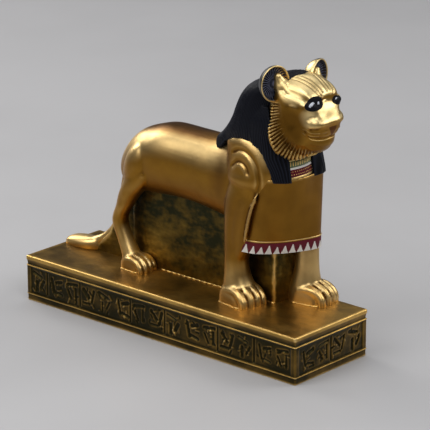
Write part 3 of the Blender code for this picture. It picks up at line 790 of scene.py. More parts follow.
# A darker copy of the gold with a weaker upward-facing highlight: painted shade on the apron, whose front
# faces away from the light.
BIB_GOLD = Finish(
    "gold paint of the apron",
    (0.23, 0.108, 0.014, 1.0), (0.09, 0.034, 0.005, 1.0), (0.70, 0.43, 0.13, 1.0),
    1.0,
    0.30,
    polished=(0.70, 0.43, 0.13, 1.0),
)
HEAD_GOLD = HeadGold(
    "gold paint of the head",
    (0.40, 0.205, 0.030, 1.0), (0.12, 0.045, 0.006, 1.0), (0.80, 0.55, 0.20, 1.0),
    1.0,
    0.34,
    polished=(0.95, 0.75, 0.37, 1.0),
)
HEAD_LOBE = Finish(
    "gold paint of the lobes",
    (0.50, 0.280, 0.055, 1.0), (0.12, 0.045, 0.006, 1.0), (0.80, 0.55, 0.20, 1.0),
    1.0,
    0.34,
    polished=(0.93, 0.72, 0.34, 1.0),
)
BRIGHT_GOLD = Finish(
    "bright gold", (0.85, 0.58, 0.20, 1.0), (0.30, 0.14, 0.03, 1.0), (0.95, 0.72, 0.34, 1.0), 1.0, 0.30
)
HAIR = StrandPaint(
    "black hair paint",
    (0.0028, 0.0030, 0.0050, 1.0), (0.0012, 0.0013, 0.0020, 1.0), (0.010, 0.012, 0.019, 1.0),
    0.0,
    0.40,
    specular=0.10,
)
WEB = Patina(
    "mottled web",
    (0.36, 0.225, 0.045, 1.0), (0.05, 0.036, 0.010, 1.0), (0.85, 0.58, 0.20, 1.0),
    1.0,
    0.38,
    0.5,
    dark=(0.028, 0.028, 0.012, 1.0),
    brown=(0.135, 0.086, 0.018, 1.0),
    cloud=55.0,
    spread=1.5,
    speckle=0.8,
)
# Its gold shows on rubbed edges and where painted highlights fall; sunk places take painted shade.
PLINTH = Patina(
    "worn plinth",
    (0.66, 0.40, 0.100, 1.0), (0.024, 0.018, 0.006, 1.0), (0.97, 0.72, 0.32, 1.0),
    1.0,
    0.33,
    0.3,
    dark=(0.026, 0.022, 0.009, 1.0),
    brown=(0.190, 0.112, 0.026, 1.0),
    cloud=34.0,
    spread=0.85,
    speckle=0.4,
)
WHITE = Finish(
    "white paint", (0.74, 0.71, 0.66, 1.0), (0.42, 0.34, 0.26, 1.0), (0.85, 0.84, 0.80, 1.0), 0.0, 0.4
)
# Also the colour of the eye's painted glint.
EYE_WHITE_AND_GLINT = Finish(
    "white eye paint", (0.62, 0.66, 0.74, 1.0), (0.3, 0.3, 0.34, 1.0), (0.85, 0.88, 0.92, 1.0), 0.0, 0.25
)
RED = Finish(
    "dark red paint",
    (0.060, 0.0015, 0.005, 1.0), (0.02, 0.001, 0.002, 1.0), (0.14, 0.01, 0.02, 1.0),
    0.0,
    0.36,
    specular=0.2,
)
GREEN = Finish(
    "green paint",
    (0.024, 0.052, 0.034, 1.0), (0.01, 0.02, 0.013, 1.0), (0.16, 0.20, 0.10, 1.0),
    0.0,
    0.4,
    specular=0.2,
)
BLACK = Finish(
    "black eye paint",
    (0.0035, 0.0036, 0.006, 1.0), (0.002, 0.002, 0.003, 1.0), (0.02, 0.02, 0.03, 1.0),
    0.0,
    0.42,
    specular=0.12,
)
# The lighter slate on the lining's ribs is a painted highlight.
SLATE = Finish(
    "slate ear paint",
    (0.014, 0.015, 0.028, 1.0), (0.002, 0.002, 0.004, 1.0), (0.20, 0.21, 0.30, 1.0),
    0.0,
    0.42,
    specular=0.12,
)


class Workshop:
    """Paints finished pieces and puts them on the statue."""

    def __init__(self, space: Space) -> None:
        """Builds every finish once."""
        self.space = space
        effects = Effects()
        everything = (GOLD, HEAD_GOLD, HEAD_LOBE, BRIGHT_GOLD, HAIR, WEB, PLINTH, WHITE, EYE_WHITE_AND_GLINT, RED)
        everything += (GREEN, BIB_GOLD, BLACK, SLATE)
        self.finishes = {finish: finish.build(effects) for finish in everything}
        self.pieces: list[bpy.types.Object] = []

    def place(self, obj: bpy.types.Object, finish: Finish) -> bpy.types.Object:
        """Paints a piece and fixes it to the statue's body.

        Args:
            obj: The piece.
            finish: Its finish.

        Returns:
            The piece.
        """
        obj.data.materials.clear()
        obj.data.materials.append(self.finishes[finish])
        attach(obj, BODY)
        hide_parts(NODE)
        self.pieces.append(obj)
        LOG.info("%s: %d faces, %s", obj.name, len(obj.data.polygons), finish.name)
        return obj


@dataclass(frozen=True)
class Paw:
    """One kind of paw.

    Attributes:
        length: Share of the lengths and heights.
        width: Share of the widths.
        splay: Degrees turned outward.
        rows: Level sections: middle, height, half length, half width, squareness.
        toe: A toe's line: along, height, radius.
        toes: How many toes.
        toe_pitch: Distance between toes.
    """

    length: float
    width: float
    splay: float
    rows: Rows = (
        (3.2, -1.0, 10.8, 9.3, 4.0), (3.2, 3.5, 10.6, 9.3, 3.6), (2.6, 6.5, 9.8, 9.1, 3.2),
        (1.2, 9.0, 7.8, 8.0, 2.6), (-0.2, 11.0, 5.4, 6.2, 2.2),
    )
    toe: Rows = (
        (-1.0, 8.6, 2.4), (5.0, 9.6, 2.5), (10.4, 8.6, 2.5), (14.0, 5.2, 2.5), (14.6, 0.5, 2.5),
    )
    toes: int = 4
    toe_pitch: float = 4.45

    def axes(self, side: Side) -> tuple[Vector, Vector]:
        """Which way the paw points, and which way is across it."""
        splay = math.radians(self.splay * side.value)
        return Vector((math.cos(splay), math.sin(splay))), Vector((-math.sin(splay), math.cos(splay)))

    def outline(self, heel: Vector, side: Side, row: Row, steps: int, grow: float = 0.0) -> list[Vector]:
        """A level outline of the paw.

        Args:
            heel: Where the leg stands.
            side: Which side of the animal.
            row: One of the rows.
            steps: How many points.
            grow: How far outside the paw it lies.

        Returns:
            Plan points, carved.
        """
        ahead, across = self.axes(side)
        middle, _, half_length, half_width, power = row
        out = []
        for a in turns(steps):
            along = (middle + (half_length + grow) * rounded(math.cos(a), power)) * self.length
            aside = (half_width + grow) * rounded(math.sin(a), power) * self.width
            out.append(heel + ahead * along + across * aside)
        return out

    def toe_lines(self, heel: Vector, side: Side) -> list[Rows]:
        """The toes' centre lines with their radii, carved."""
        ahead, across = self.axes(side)
        lines = []
        for i in range(self.toes):
            place = i - (self.toes - 1) / 2
            start = heel + across * place * self.toe_pitch * self.width
            shorter = 1.0 - 0.03 * place * place
            rows = []
            for along, z, radius in self.toe:
                point = start + ahead * along * shorter * self.length
                low = z - 0.5 * place * place * min(1.0, z / 6.0)
                rows.append((point.x, point.y, low * self.length, radius * self.length))
            lines.append(tuple(rows))
        return lines

    def toe_gaps(self, heel: Vector, side: Side) -> list[Line]:
        """The grooves between neighbouring toes."""
        lines = self.toe_lines(heel, side)
        made = []
        for one, other in zip(lines, lines[1:]):
            rows = []
            for a, b in zip(one[1:], other[1:]):
                middle = [(p + q) / 2 for p, q in zip(a, b)]
                front = (a[2] < 7.0 * self.length) * 0.9 * self.length
                rows.append((middle[0] + front, middle[1], middle[2] + 1.1 * self.length))
            made.append(Line(1.35 * self.length, -0.95 * self.length, tuple(rows)))
        return made

    def add(self, clay: Clay, heel: Vector, side: Side) -> None:
        """Adds the paw and its toes to the clay."""
        rings = []
        for row in smooth_rows(self.rows, 4):
            flat = self.outline(heel, side, tuple(row), 36)
            rings.append([clay.space.at(point.x, point.y, row[1] * self.length) for point in flat])
        skin_rings(clay.builder, rings)
        for line in self.toe_lines(heel, side):
            clay.tube(line)


FORE_PAW = Paw(1.0, 1.0, 9.0)
HIND_PAW = Paw(0.80, 0.74, 4.0)


@dataclass(frozen=True)
class Trunk:
    """The body, its legs, paws and tail, in one skin.

    Attributes:
        torso: Upright sections: x, side, height, half width, half height, squareness.
        fore_leg: Level sections down a fore leg.
        hind_leg: Level sections down a hind leg.
        tail: The tail's line with its radii.
        tuft: Upright sections of the tail's tuft.
        fore_x: Where the right fore leg stands along the body.
        fore_stride: How far ahead the left one stands.
        fore_side: How far both stand from the middle plane.
        left_lean: Share of the fore leg's lean that the left one has.
        hind_x: Where the right hind leg stands along the body.
        hind_stride: How far ahead the left one stands.
        hind_side: How far both stand from the middle plane.
        hind_paw_ahead: How far a hind paw lies ahead of its leg.
        thigh: Middle of the thigh's swell: ahead of the leg, side, height.
        thigh_radii: Its half lengths.
        thigh_pitch: Degrees that it is tipped nose down.
        crown: Level sections up the domed shoulder: x, side, height, then as the legs.
        brace: Level sections down the flesh between the right fore leg and the bib.
        seam: The ridge along its front edge, with its radii.
        blade: Middle of the saddle behind the shoulder.
        blade_radii: Its half lengths.
        throat: Middle of the chest's top.
        throat_radii: Its half lengths.
        voxel: Cell of its skin, in metres.
    """

    torso: Rows = (
        (-55.5, 0.0, 54.0, 3.0, 5.0, 2.0), (-52.5, 0.0, 56.0, 8.0, 10.5, 2.0),
        (-46.0, 0.0, 59.0, 11.5, 15.5, 2.1), (-38.0, 0.0, 62.0, 14.5, 18.3, 2.1),
        (-28.0, 0.0, 64.3, 16.5, 19.8, 2.2), (-18.0, 0.0, 65.9, 17.0, 20.4, 2.2),
        (0.0, 0.0, 65.9, 16.5, 20.4, 2.2), (18.0, 0.0, 64.9, 17.0, 21.4, 2.2),
        (36.0, 0.0, 64.7, 17.5, 23.6, 2.3), (50.0, 0.0, 67.0, 16.0, 25.0, 2.3),
        (58.0, 0.0, 70.0, 13.5, 20.0, 2.3), (64.0, 0.0, 72.0, 10.5, 15.0, 2.2),
        (69.0, 0.0, 73.0, 6.0, 9.0, 2.0),
    )
    fore_leg: Rows = (
        (6.5, 0.0, 76.0, 8.5, 4.5, 2.2), (5.6, 0.2, 66.0, 9.2, 6.0, 2.2),
        (2.5, 0.6, 56.0, 8.2, 6.5, 2.2), (0.5, 0.6, 45.0, 6.6, 6.2, 2.2),
        (0.2, 0.4, 30.0, 6.3, 6.2, 2.2), (0.6, 0.2, 18.0, 6.8, 6.8, 2.2),
        (2.0, 0.0, 10.0, 8.5, 8.2, 2.3), (3.0, 0.0, 5.0, 9.5, 9.0, 2.4), (3.0, 0.0, 0.0, 9.5, 9.0, 2.4),
    )
    hind_leg: Rows = (
        (10.5, 0.0, 58.0, 10.5, 6.0, 2.2), (5.5, 0.3, 50.0, 8.2, 6.3, 2.2),
        (0.5, 0.3, 43.0, 6.4, 5.8, 2.2), (-3.0, 0.4, 36.0, 5.0, 5.0, 2.2),
        (-6.2, 0.4, 30.0, 4.4, 4.6, 2.2), (-6.6, 0.4, 25.0, 4.4, 4.6, 2.2),
        (-3.4, 0.2, 17.0, 4.4, 4.6, 2.2), (0.2, 0.0, 10.0, 4.8, 5.4, 2.2),
        (2.6, 0.0, 4.5, 5.2, 6.0, 2.3), (3.0, 0.0, 0.0, 5.2, 6.0, 2.4),
    )
    tail: Rows = (
        (-44.0, 0.0, 66.0, 5.5), (-50.5, 0.0, 55.0, 5.0), (-54.5, 0.0, 41.0, 4.5),
        (-58.5, 0.0, 29.0, 4.0), (-62.5, 0.0, 18.8, 3.2), (-67.2, -0.2, 12.8, 2.8),
        (-72.5, -0.8, 8.0, 3.0), (-79.0, -1.6, 4.4, 3.4),
    )
    tuft: Rows = (
        (-73.0, -1.0, 3.5, 2.0, 3.0, 2.0), (-77.0, -1.6, 3.2, 4.0, 4.2, 2.2),
        (-83.0, -2.2, 2.6, 5.8, 4.6, 2.3), (-90.0, -2.6, 2.2, 6.2, 4.4, 2.4),
        (-95.0, -2.8, 1.8, 5.6, 3.8, 2.5), (-98.0, -2.8, 1.4, 4.4, 2.8, 2.5),
        (-98.9, -2.8, 1.0, 2.4, 1.6, 2.4),
    )
    fore_x: float = 37.8
    fore_stride: float = 27.0
    fore_side: float = 13.2
    left_lean: float = -0.35
    hind_x: float = -43.0
    hind_stride: float = 5.0
    hind_side: float = 11.3
    hind_paw_ahead: float = 2.6
    thigh: Row = (8.0, 10.5, 60.5)
    thigh_radii: Row = (10.2, 7.4, 15.5)
    thigh_pitch: float = 24.0
    crown: Rows = (
        (49.0, 7.5, 58.0, 8.0, 5.0, 2.0), (47.2, 12.1, 68.0, 13.6, 7.6, 2.1),
        (48.4, 11.8, 75.0, 16.4, 7.8, 2.1), (48.0, 11.4, 81.0, 16.4, 7.5, 2.1),
        (46.0, 11.1, 86.5, 15.4, 7.2, 2.0), (44.2, 10.8, 90.5, 13.4, 6.9, 2.0),
        (44.0, 10.4, 93.4, 9.4, 6.2, 2.0), (44.2, 10.0, 95.0, 5.0, 4.4, 2.0),
        (44.4, 10.0, 95.6, 1.6, 1.8, 2.0),
    )
    brace: Rows = (
        (47.4, 12.1, 71.0, 12.0, 7.2, 2.2), (46.4, 12.2, 63.0, 9.8, 7.1, 2.3),
        (45.2, 12.9, 56.5, 8.6, 7.2, 2.4), (43.9, 13.2, 47.7, 7.8, 7.0, 2.4),
        (42.6, 13.3, 40.0, 7.5, 6.8, 2.4), (41.0, 13.1, 33.0, 6.9, 6.5, 2.3),
        (39.2, 13.1, 26.0, 5.6, 6.2, 2.2), (38.4, 13.2, 19.0, 4.0, 5.6, 2.2),
    )
    seam: Rows = (
        (57.0, -17.2, 67.0, 0.7), (55.5, -18.6, 62.4, 1.0), (53.4, -19.4, 56.5, 1.0),
        (51.2, -19.8, 47.7, 1.0), (49.6, -19.8, 40.0, 0.9), (48.8, -19.4, 36.5, 0.6),
    )
    blade: Row = (31.0, 4.6, 79.4)
    blade_radii: Row = (11.0, 7.6, 9.2)
    throat: Row = (62.0, 0.0, 84.0)
    throat_radii: Row = (9.5, 12.0, 14.0)
    voxel: float = 0.00070

    def fore_heel(self, side: Side) -> Vector:
        """Where a fore leg stands, in plan."""
        ahead = self.fore_stride if side is Side.LEFT else 0.0
        return Vector((self.fore_x + ahead, side.value * self.fore_side))

    def hind_heel(self, side: Side) -> Vector:
        """Where a hind leg stands, in plan."""
        ahead = self.hind_stride if side is Side.LEFT else 0.0
        return Vector((self.hind_x + ahead, side.value * self.hind_side))

    def hind_paw_heel(self, side: Side) -> Vector:
        """Where a hind paw starts, in plan."""
        return self.hind_heel(side) + Vector((self.hind_paw_ahead, 0.0))

    @staticmethod
    def beside(rows: Rows, side: Side, x: float = 0.0, y: float = 0.0, lean: float = 1.0) -> Rows:
        """Level sections turned to a side and moved to where they stand.

        Args:
            rows: The sections as for the left side.
            side: The side that they are for.
            x: What is added along the body.
            y: What is added across it.
            lean: Share of their own way along the body that they keep.

        Returns:
            The sections in their places.
        """
        return tuple((x + dx * lean, y + side.value * dy, z, *rest) for dx, dy, z, *rest in rows)

    def grooves(self, skin: Skin) -> list[Line]:
        """The shoulder's carved grooves."""
        outer = (
            (39.2, 18, 85.1), (43.5, 18.2, 87.3), (48.3, 18.4, 87.0), (52.8, 18.2, 84.2),
            (55.8, 17.6, 80.5), (57.6, 17, 75.3), (57.8, 17.2, 70.8), (56.9, 18, 66.9),
            (55.5, 18.6, 62.4), (53.4, 19.2, 56.5), (51.2, 19.6, 47.7), (49.6, 19.6, 40.0),
        )
        inner = (
            (38.5, 18.6, 77.7), (42.2, 18.8, 80.6), (45.8, 18.9, 81.1), (49.3, 18.9, 79.1),
            (50.9, 18.9, 76.2),
        )
        return [Line(1.6, -0.85, skin.settled(outer)), Line(1.6, -0.85, skin.settled(inner))]

    def build(self, shop: Workshop) -> None:
        """Makes the trunk."""
        clay = Clay(shop.space)
        clay.loft_x(self.torso)
        for side in Side:
            fore = self.fore_heel(side)
            hind = self.hind_heel(side)
            lean = self.left_lean if side is Side.LEFT else 1.0
            clay.loft_z(self.beside(self.fore_leg, side, *fore, lean))
            clay.loft_z(self.beside(self.hind_leg, side, *hind))
            FORE_PAW.add(clay, fore, side)
            HIND_PAW.add(clay, self.hind_paw_heel(side), side)
            ahead, out, z = self.thigh
            clay.lump((hind.x + ahead, side.value * out, z), self.thigh_radii, self.thigh_pitch)
            x, out, z = self.blade
            clay.lump((x, side.value * out, z), self.blade_radii)
            clay.loft_z(self.beside(self.crown, side))
            if side is Side.RIGHT:
                clay.loft_z(self.beside(self.brace, side))
        clay.tube(self.tail)
        clay.tube(self.seam)
        clay.loft_x(self.tuft)
        clay.lump(self.throat, self.throat_radii)
        skin = clay.skin("body", self.voxel, 4)
        skin.carve(self.grooves(skin))
        gaps = []
        for side in Side:
            gaps += FORE_PAW.toe_gaps(self.fore_heel(side), side)
            gaps += HIND_PAW.toe_gaps(self.hind_paw_heel(side), side)
        skin.carve(gaps, both=False)
        skin.soften(1)
        self.note_light_and_grime(skin)
        shop.place(skin.obj, GOLD)

    @staticmethod
    def note_light_and_grime(skin: Skin) -> None:
        """Notes the painted highlight on faces that look up, and the brown of painted shade and grime along
        the spine, behind the shoulder and along the belly.
        """
        x, y, z = skin.points.T
        # The top of the back loses its painted highlight and takes painted shade.
        back = risen(skin.normals[:, 2], 0.72, 0.2) * risen(z, 70.0, 6.0)
        left = y > 0.0
        # Painted highlight low on the legs, stronger on the left ones.
        legs = np.where(left, 0.6, 0.35) * risen(z, np.where(left, 40.0, 26.0), -12.0)
        skin.note_shading_and_wear(9.0, shaded_top=0.95 * back, least_highlight=legs)
        # Brown painted shade, with grime, along the spine, behind the shoulder and low along the belly.
        spine = back * risen(x, 24.0, -20.0) * risen(x, -46.0, 14.0)
        band = 0.75 * np.exp(-(((x - 29.0) / 5.0) ** 2)) * risen(z, 50.0, 12.0)
        low = 0.45 * risen(z, 66.0, -12.0) * risen(z, 22.0, 10.0) * risen(x, -34.0, 10.0)
        skin.note("shade_and_grime", np.maximum(np.maximum(spine, band), low))


@dataclass(frozen=True)
class Head:
    """The head without ears: brow, muzzle, cheeks and the fluted ruff.

    Attributes:
        outlines: From the throat up: height, then plan points from the nose round to the nape.
        ruff: The ruff under the jaw, from the left side to the middle: point, radius.
        ruff_outer: The ruff's outer edge: turn in degrees and reach from where the flutes fan.
        ruff_inner: The ruff's inner edge: turn in degrees and reach.
        fan_middle: Where the flutes of the left side fan from.
        flutes: Turn between the ruff's flutes, in degrees.
        flute_depth: How deep the flutes are.
        rubbed_and_lit: A patch of painted highlight on the muzzle's side.
        brow_middle: Side of the brow's middle line.
        voxel: Cell of its skin, in metres.
    """

    outlines: tuple = (
        (88.5, (80.0, 0.0), (79.0, 4.0), (75.0, 8.0), (68.0, 10.5), (60.0, 10.0), (54.0, 0.0)),
        (91.6, (86.7, 0.0), (86.1, 4.0), (81.0, 8.8), (72.0, 13.0), (62.0, 13.5), (52.0, 0.0)),
        (95.5, (90.2, 0.0), (88.6, 4.9), (83.6, 9.9), (76.0, 14.5), (64.0, 16.5), (50.0, 0.0)),
        (99.3, (90.9, 0.0), (89.7, 5.3), (85.1, 10.4), (79.0, 14.9), (66.0, 18.2), (48.0, 0.0)),
        (103.5, (92.1, 0.0), (91.4, 6.8), (87.0, 11.4), (80.0, 15.4), (67.0, 18.8), (48.0, 0.0)),
        (107.6, (92.5, 0.0), (92.1, 7.8), (87.8, 11.9), (80.0, 15.6), (68.0, 18.6), (48.0, 0.0)),
        (111.0, (91.0, 0.0), (90.9, 7.6), (87.3, 11.9), (80.5, 15.7), (68.0, 18.4), (48.0, 0.0)),
        (114.5, (89.5, 0.0), (89.3, 7.4), (87.9, 11.4), (82.4, 15.4), (69.0, 18.0), (48.0, 0.0)),
        (118.0, (87.4, 0.0), (88.4, 6.2), (87.2, 11.0), (82.4, 15.2), (69.0, 17.8), (48.0, 0.0)),
        (121.5, (86.4, 0.0), (87.4, 6.2), (85.9, 11.2), (79.2, 15.2), (68.0, 17.2), (49.0, 0.0)),
        (124.5, (84.4, 0.0), (84.6, 5.8), (82.9, 10.9), (76.2, 14.2), (67.0, 16.2), (51.0, 0.0)),
        (127.6, (80.6, 0.0), (79.9, 5.4), (77.0, 9.8), (71.4, 12.6), (65.0, 13.5), (54.0, 0.0)),
        (129.8, (75.5, 0.0), (74.5, 4.2), (71.6, 7.0), (68.0, 8.4), (64.0, 8.0), (58.0, 0.0)),
        (130.6, (71.0, 0.0), (70.4, 2.0), (69.0, 3.2), (67.0, 3.8), (65.0, 3.2), (62.0, 0.0)),
    )
    ruff: Rows = (
        (67.6, 15.0, 101.0, 4.6), (68.8, 14.6, 97.0, 4.6), (70.2, 13.0, 93.2, 4.0),
        (72.0, 10.4, 90.6, 4.1), (73.6, 6.6, 89.4, 4.0), (74.2, 2.2, 89.0, 3.4),
    )
    ruff_outer: Rows = (
        (-30.0, 21.3), (4.4, 21.6), (12.5, 22.9), (21.3, 24.3), (37.3, 26.4), (46.6, 27.4),
        (56.3, 27.9), (66.2, 28.7), (75.4, 26.3), (86.0, 24.1), (110.0, 23.6),
    )
    ruff_inner: Rows = (
        (-30.0, 17.6), (2.9, 16.4), (22.7, 16.3), (33.7, 16.8), (50.2, 17.3), (59.6, 18.4),
        (67.9, 18.8), (79.7, 18.6), (88.5, 20.0), (110.0, 21.0),
    )
    fan_middle: Row = (87.9, 11.2, 115.2)
    flutes: float = 4.4
    flute_depth: float = 1.0
    rubbed_and_lit: Hollow = Hollow((87.5, 11.5, 111.5), (7.0, 7.0, 6.5), 0.9)
    brow_middle: float = 1.6
    voxel: float = 0.00034

    def lines(self) -> list[Line]:
        """The carved lines of one side: lips, pads, chin, temple, ruff, whiskers and tear."""
        cut = (
            (1.8, 0.3, (92.2, 0.0, 108.4), (92.1, 5.0, 108.0), (91.1, 8.8, 107.6), (88.0, 12.0, 106.9)),
            (2.2, -0.35, (92.4, 0.0, 106.0), (92.0, 6.2, 105.8), (90.0, 10.0, 105.4), (88.0, 12.0, 105.2)),
            (1.0, -0.45, (91.3, 0.0, 100.6), (90.6, 3.8, 100.1), (88.2, 8.6, 100.1))
            + ((85.8, 11.2, 101.2), (84.4, 13.0, 103.8)),
            (2.4, 0.4, (90.4, 0.0, 96.4), (88.9, 4.8, 96.6), (86.2, 9.0, 97.6)),
            (2.9, -0.8, (75.3, 15.8, 124.2), (78.8, 14.6, 123.2), (82.0, 13.4, 121.8), (84.2, 12.9, 120.5)),
            (1.6, -1.2, (65.6, 16.4, 113.8), (65.2, 18.6, 107.0), (66.0, 19.6, 102.4))
            + ((68.0, 19.6, 97.6), (69.6, 18.2, 94.4)),
            (0.8, 0.38, (83.2, 12.9, 105.6), (85.4, 12.9, 105.4), (86.8, 11.9, 104.2))
            + ((88.0, 10.6, 103.4), (90.2, 8.2, 103.4)),
            (0.8, 0.38, (83.3, 12.5, 103.4), (84.9, 11.8, 102.2), (87.0, 10.4, 101.8), (89.2, 7.8, 101.8)),
            (0.62, -0.34, (87.6, 12.0, 105.6), (89.7, 10.1, 105.5), (91.2, 7.1, 105.3), (92.0, 4.4, 105.0)),
            (0.62, -0.34, (87.4, 10.9, 104.5), (89.4, 8.9, 104.3), (91.0, 5.9, 104.0), (91.4, 4.0, 103.8)),
            (0.62, -0.34, (87.6, 10.3, 103.1), (89.6, 8.3, 102.9), (91.2, 5.3, 102.7), (91.6, 3.6, 102.5)),
            (0.5, -0.10, (87.9, 11.2, 115.5), (88.7, 10.5, 113.3), (88.9, 10.4, 111.7))
            + ((89.8, 9.3, 110.6), (89.9, 7.3, 111.8), (89.2, 6.4, 114.6)),
        )
        return [Line(width, height, path) for width, height, *path in cut]

    def brow_lines(self) -> list[Line]:
        """The grooves that sweep from the crown to the bridge of the nose, on both sides."""
        sweeps = (
            ((71.6, -8.6, 129.4), (75.7, -7.4, 128.8), (80.9, -6.2, 126.9))
            + ((84.6, -5.2, 124.4), (86.6, -4.0, 121.8)),
            ((72.6, -5.6, 130.0), (77.0, -4.4, 129.0), (81.8, -3.2, 126.6))
            + ((85.2, -2.4, 123.6), (86.4, -1.6, 121.4)),
            ((73.4, -2.6, 130.2), (78.0, -1.4, 128.8), (82.5, -0.4, 126.2), (85.5, 0.1, 123.0)),
        )
        made = []
        for path in sweeps:
            made.append(Line(0.9, -0.42, path))
            made.append(Line(0.9, -0.42, tuple((x, 2.0 * self.brow_middle - y, z) for x, y, z in path)))
        made.append(Line(0.7, -0.45, ((87.1, -2.3, 118.9), (86.9, -0.8, 119.5), (86.8, 0.8, 119.7))))
        return made

    def hollows(self) -> list[Hollow]:
        """The soft hollows of one side of the face."""
        return [
            Hollow((88.0, 6.5, 118.6), (5.0, 8.5, 4.6), 0.7),
            Hollow((88.6, 11.8, 108.4), (5.5, 5.5, 4.2), -1.3),
            Hollow((88.0, 11.4, 113.0), (4.5, 4.5, 3.6), 0.35),
            Hollow((85.8, 13.2, 117.6), (2.4, 2.4, 2.2), 0.35),
            Hollow((80.5, 15.6, 107.5), (8.5, 6.0, 9.5), 1.1),
            Hollow((82.5, 14.0, 101.0), (5.5, 5.5, 6.5), 1.0),
        ]

    def shade_patches(self) -> list[Hollow]:
        """Where painted shade darkens one side of the face: under the muzzle's ledge, in the cheek's hollow
        and on the chin.
        """
        return [
            Hollow((90.5, 8.0, 103.6), (6.5, 10.0, 4.0), 0.35),
            Hollow((77.0, 16.0, 104.5), (12.0, 10.0, 19.0), 0.95),
            Hollow((86.5, 6.0, 94.5), (9.0, 14.0, 6.5), 0.60),
        ]

    def ring(self, space: Space, row: np.ndarray) -> Ring:
        """A level ring of the head from a row of its height and its half outline."""
        z, *flat = row
        half = list(zip(flat[0::2], flat[1::2]))
        whole = half + [(x, -y) for x, y in reversed(half[1:-1])]
        return [space.at(x, y, z) for x, y in smooth_loop(whole, 8)]

    def fan(self, points: np.ndarray) -> tuple[np.ndarray, np.ndarray]:
        """Turn in degrees and reach of each point about the place that the flutes fan from."""
        x, y, z = points.T
        middle_x, middle_y, middle_z = self.fan_middle
        ahead = x - middle_x
        aside = np.abs(y) - middle_y
        back = 0.668 * aside - 0.744 * ahead
        down = 0.211 * ahead + 0.235 * aside - 0.949 * (z - middle_z)
        return np.degrees(np.arctan2(down, back)), np.hypot(back, down)

    def fluting(self, skin: Skin) -> None:
        """Cuts the ruff's pointed flutes."""
        turn, reach = self.fan(skin.points)
        outer = np.interp(turn, *np.array(self.ruff_outer).T)
        inner = np.interp(turn, *np.array(self.ruff_inner).T)
        along = (outer - reach) / (outer - inner)
        step = turn / self.flutes
        away = np.abs((step % 1.0) - 0.5) * 2.0
        tip = np.where(np.floor(step) % 2 == 0, 1.12, 0.94)
        room = np.clip(tip - along, 0.0, 1.0) ** 0.55 * 0.88
        petal = eased(np.clip((room - away) * 2.4, 0.0, 1.0))
        gap = risen(along, 1.14, -0.4) * risen(along, -0.02, 0.1)
        inside = (along > -0.02) & (along < 1.14) & (turn > -16.0) & (turn < 104.0)
        inside &= np.where(turn > 90.0, np.abs(skin.points[:, 1]) < 7.0, True)
        skin.push(np.where(inside, self.flute_depth * gap * (0.35 * petal - 0.65 * (1.0 - petal)), 0.0))

    def build(self, shop: Workshop) -> Skin:
        """Makes the head.

        Returns:
            The head's skin, for what is laid on it.
        """
        clay = Clay(shop.space)
        rows = tuple((z, *(value for point in outline for value in point)) for z, *outline in self.outlines)
        skin_rings(clay.builder, [self.ring(shop.space, row) for row in smooth_rows(rows, 5)])
        for side in Side:
            s = side.value
            clay.lump((78.5, s * 13.0, 116.5), (7.0, 4.2, 3.4), 14.0, -28.0 * s)
            clay.lump((85.6, s * 9.8, 117.2), (3.2, 4.8, 2.6), 0.0, 24.0 * s, 16.0 * s)
            clay.lump((68.5, s * 14.5, 101.0), (6.0, 5.5, 12.0))
        clay.tube(self.ruff + tuple((x, -y, z, radius) for x, y, z, radius in reversed(self.ruff)), 28)
        skin = clay.skin("head", self.voxel, 7)
        skin.hollow(self.hollows())
        skin.carve(self.lines())
        swept = skin.carve(self.brow_lines(), both=False)
        skin.soften(2)
        self.fluting(skin)
        x, y, z = skin.points.T
        turn, reach = self.fan(skin.points)
        over = reach - np.interp(turn, *np.array(self.ruff_outer).T)
        temple = np.interp(z, (112.0, 118.0, 124.0, 129.0), (66.0, 66.0, 68.5, 71.6))
        over = np.where(turn > -14.0, over, temple - x)
        hair = risen(over, 0.3, 0.5) * risen(turn, 66.0, -4.0)
        wave = np.cos(2.0 * math.pi * WIG.strands * WIG.across(skin.points))
        skin.push(hair * (0.15 * wave - 0.75))
        skin.note("hair", hair)
        nose = (x > 89.0) & (z > 100.4) & (z < 105.8)
        wide = np.interp(z, (100.4, 102.0, 104.5, 105.8), (0.5, 1.5, 3.0, 3.4))
        skin.note("leather", np.where(nose, risen(wide, np.abs(y - 0.8), 0.5), 0.0))
        folded = skin.folded()
        # Painted shade in the patches, and grime along the brow's grooves.
        shade_and_grime = np.zeros(skin.count)
        for shade_patch in self.shade_patches():
            shade_and_grime = np.maximum(shade_and_grime, shade_patch.depth * np.clip(1.3 - 1.3 * shade_patch.gap(folded), 0.0, 1.0))
        skin.note("shade_and_grime", np.clip(shade_and_grime + 0.45 * skin.spread(swept, 2), 0.0, 1.0))
        # Painted highlight on faces that look up and on the patch at the muzzle's side.
        skin.note_shading_and_wear(16.0, least_highlight=self.rubbed_and_lit.depth * np.clip(1.0 - self.rubbed_and_lit.gap(folded), 0.0, 1.0))
        shop.place(skin.obj, HEAD_GOLD)
        return skin


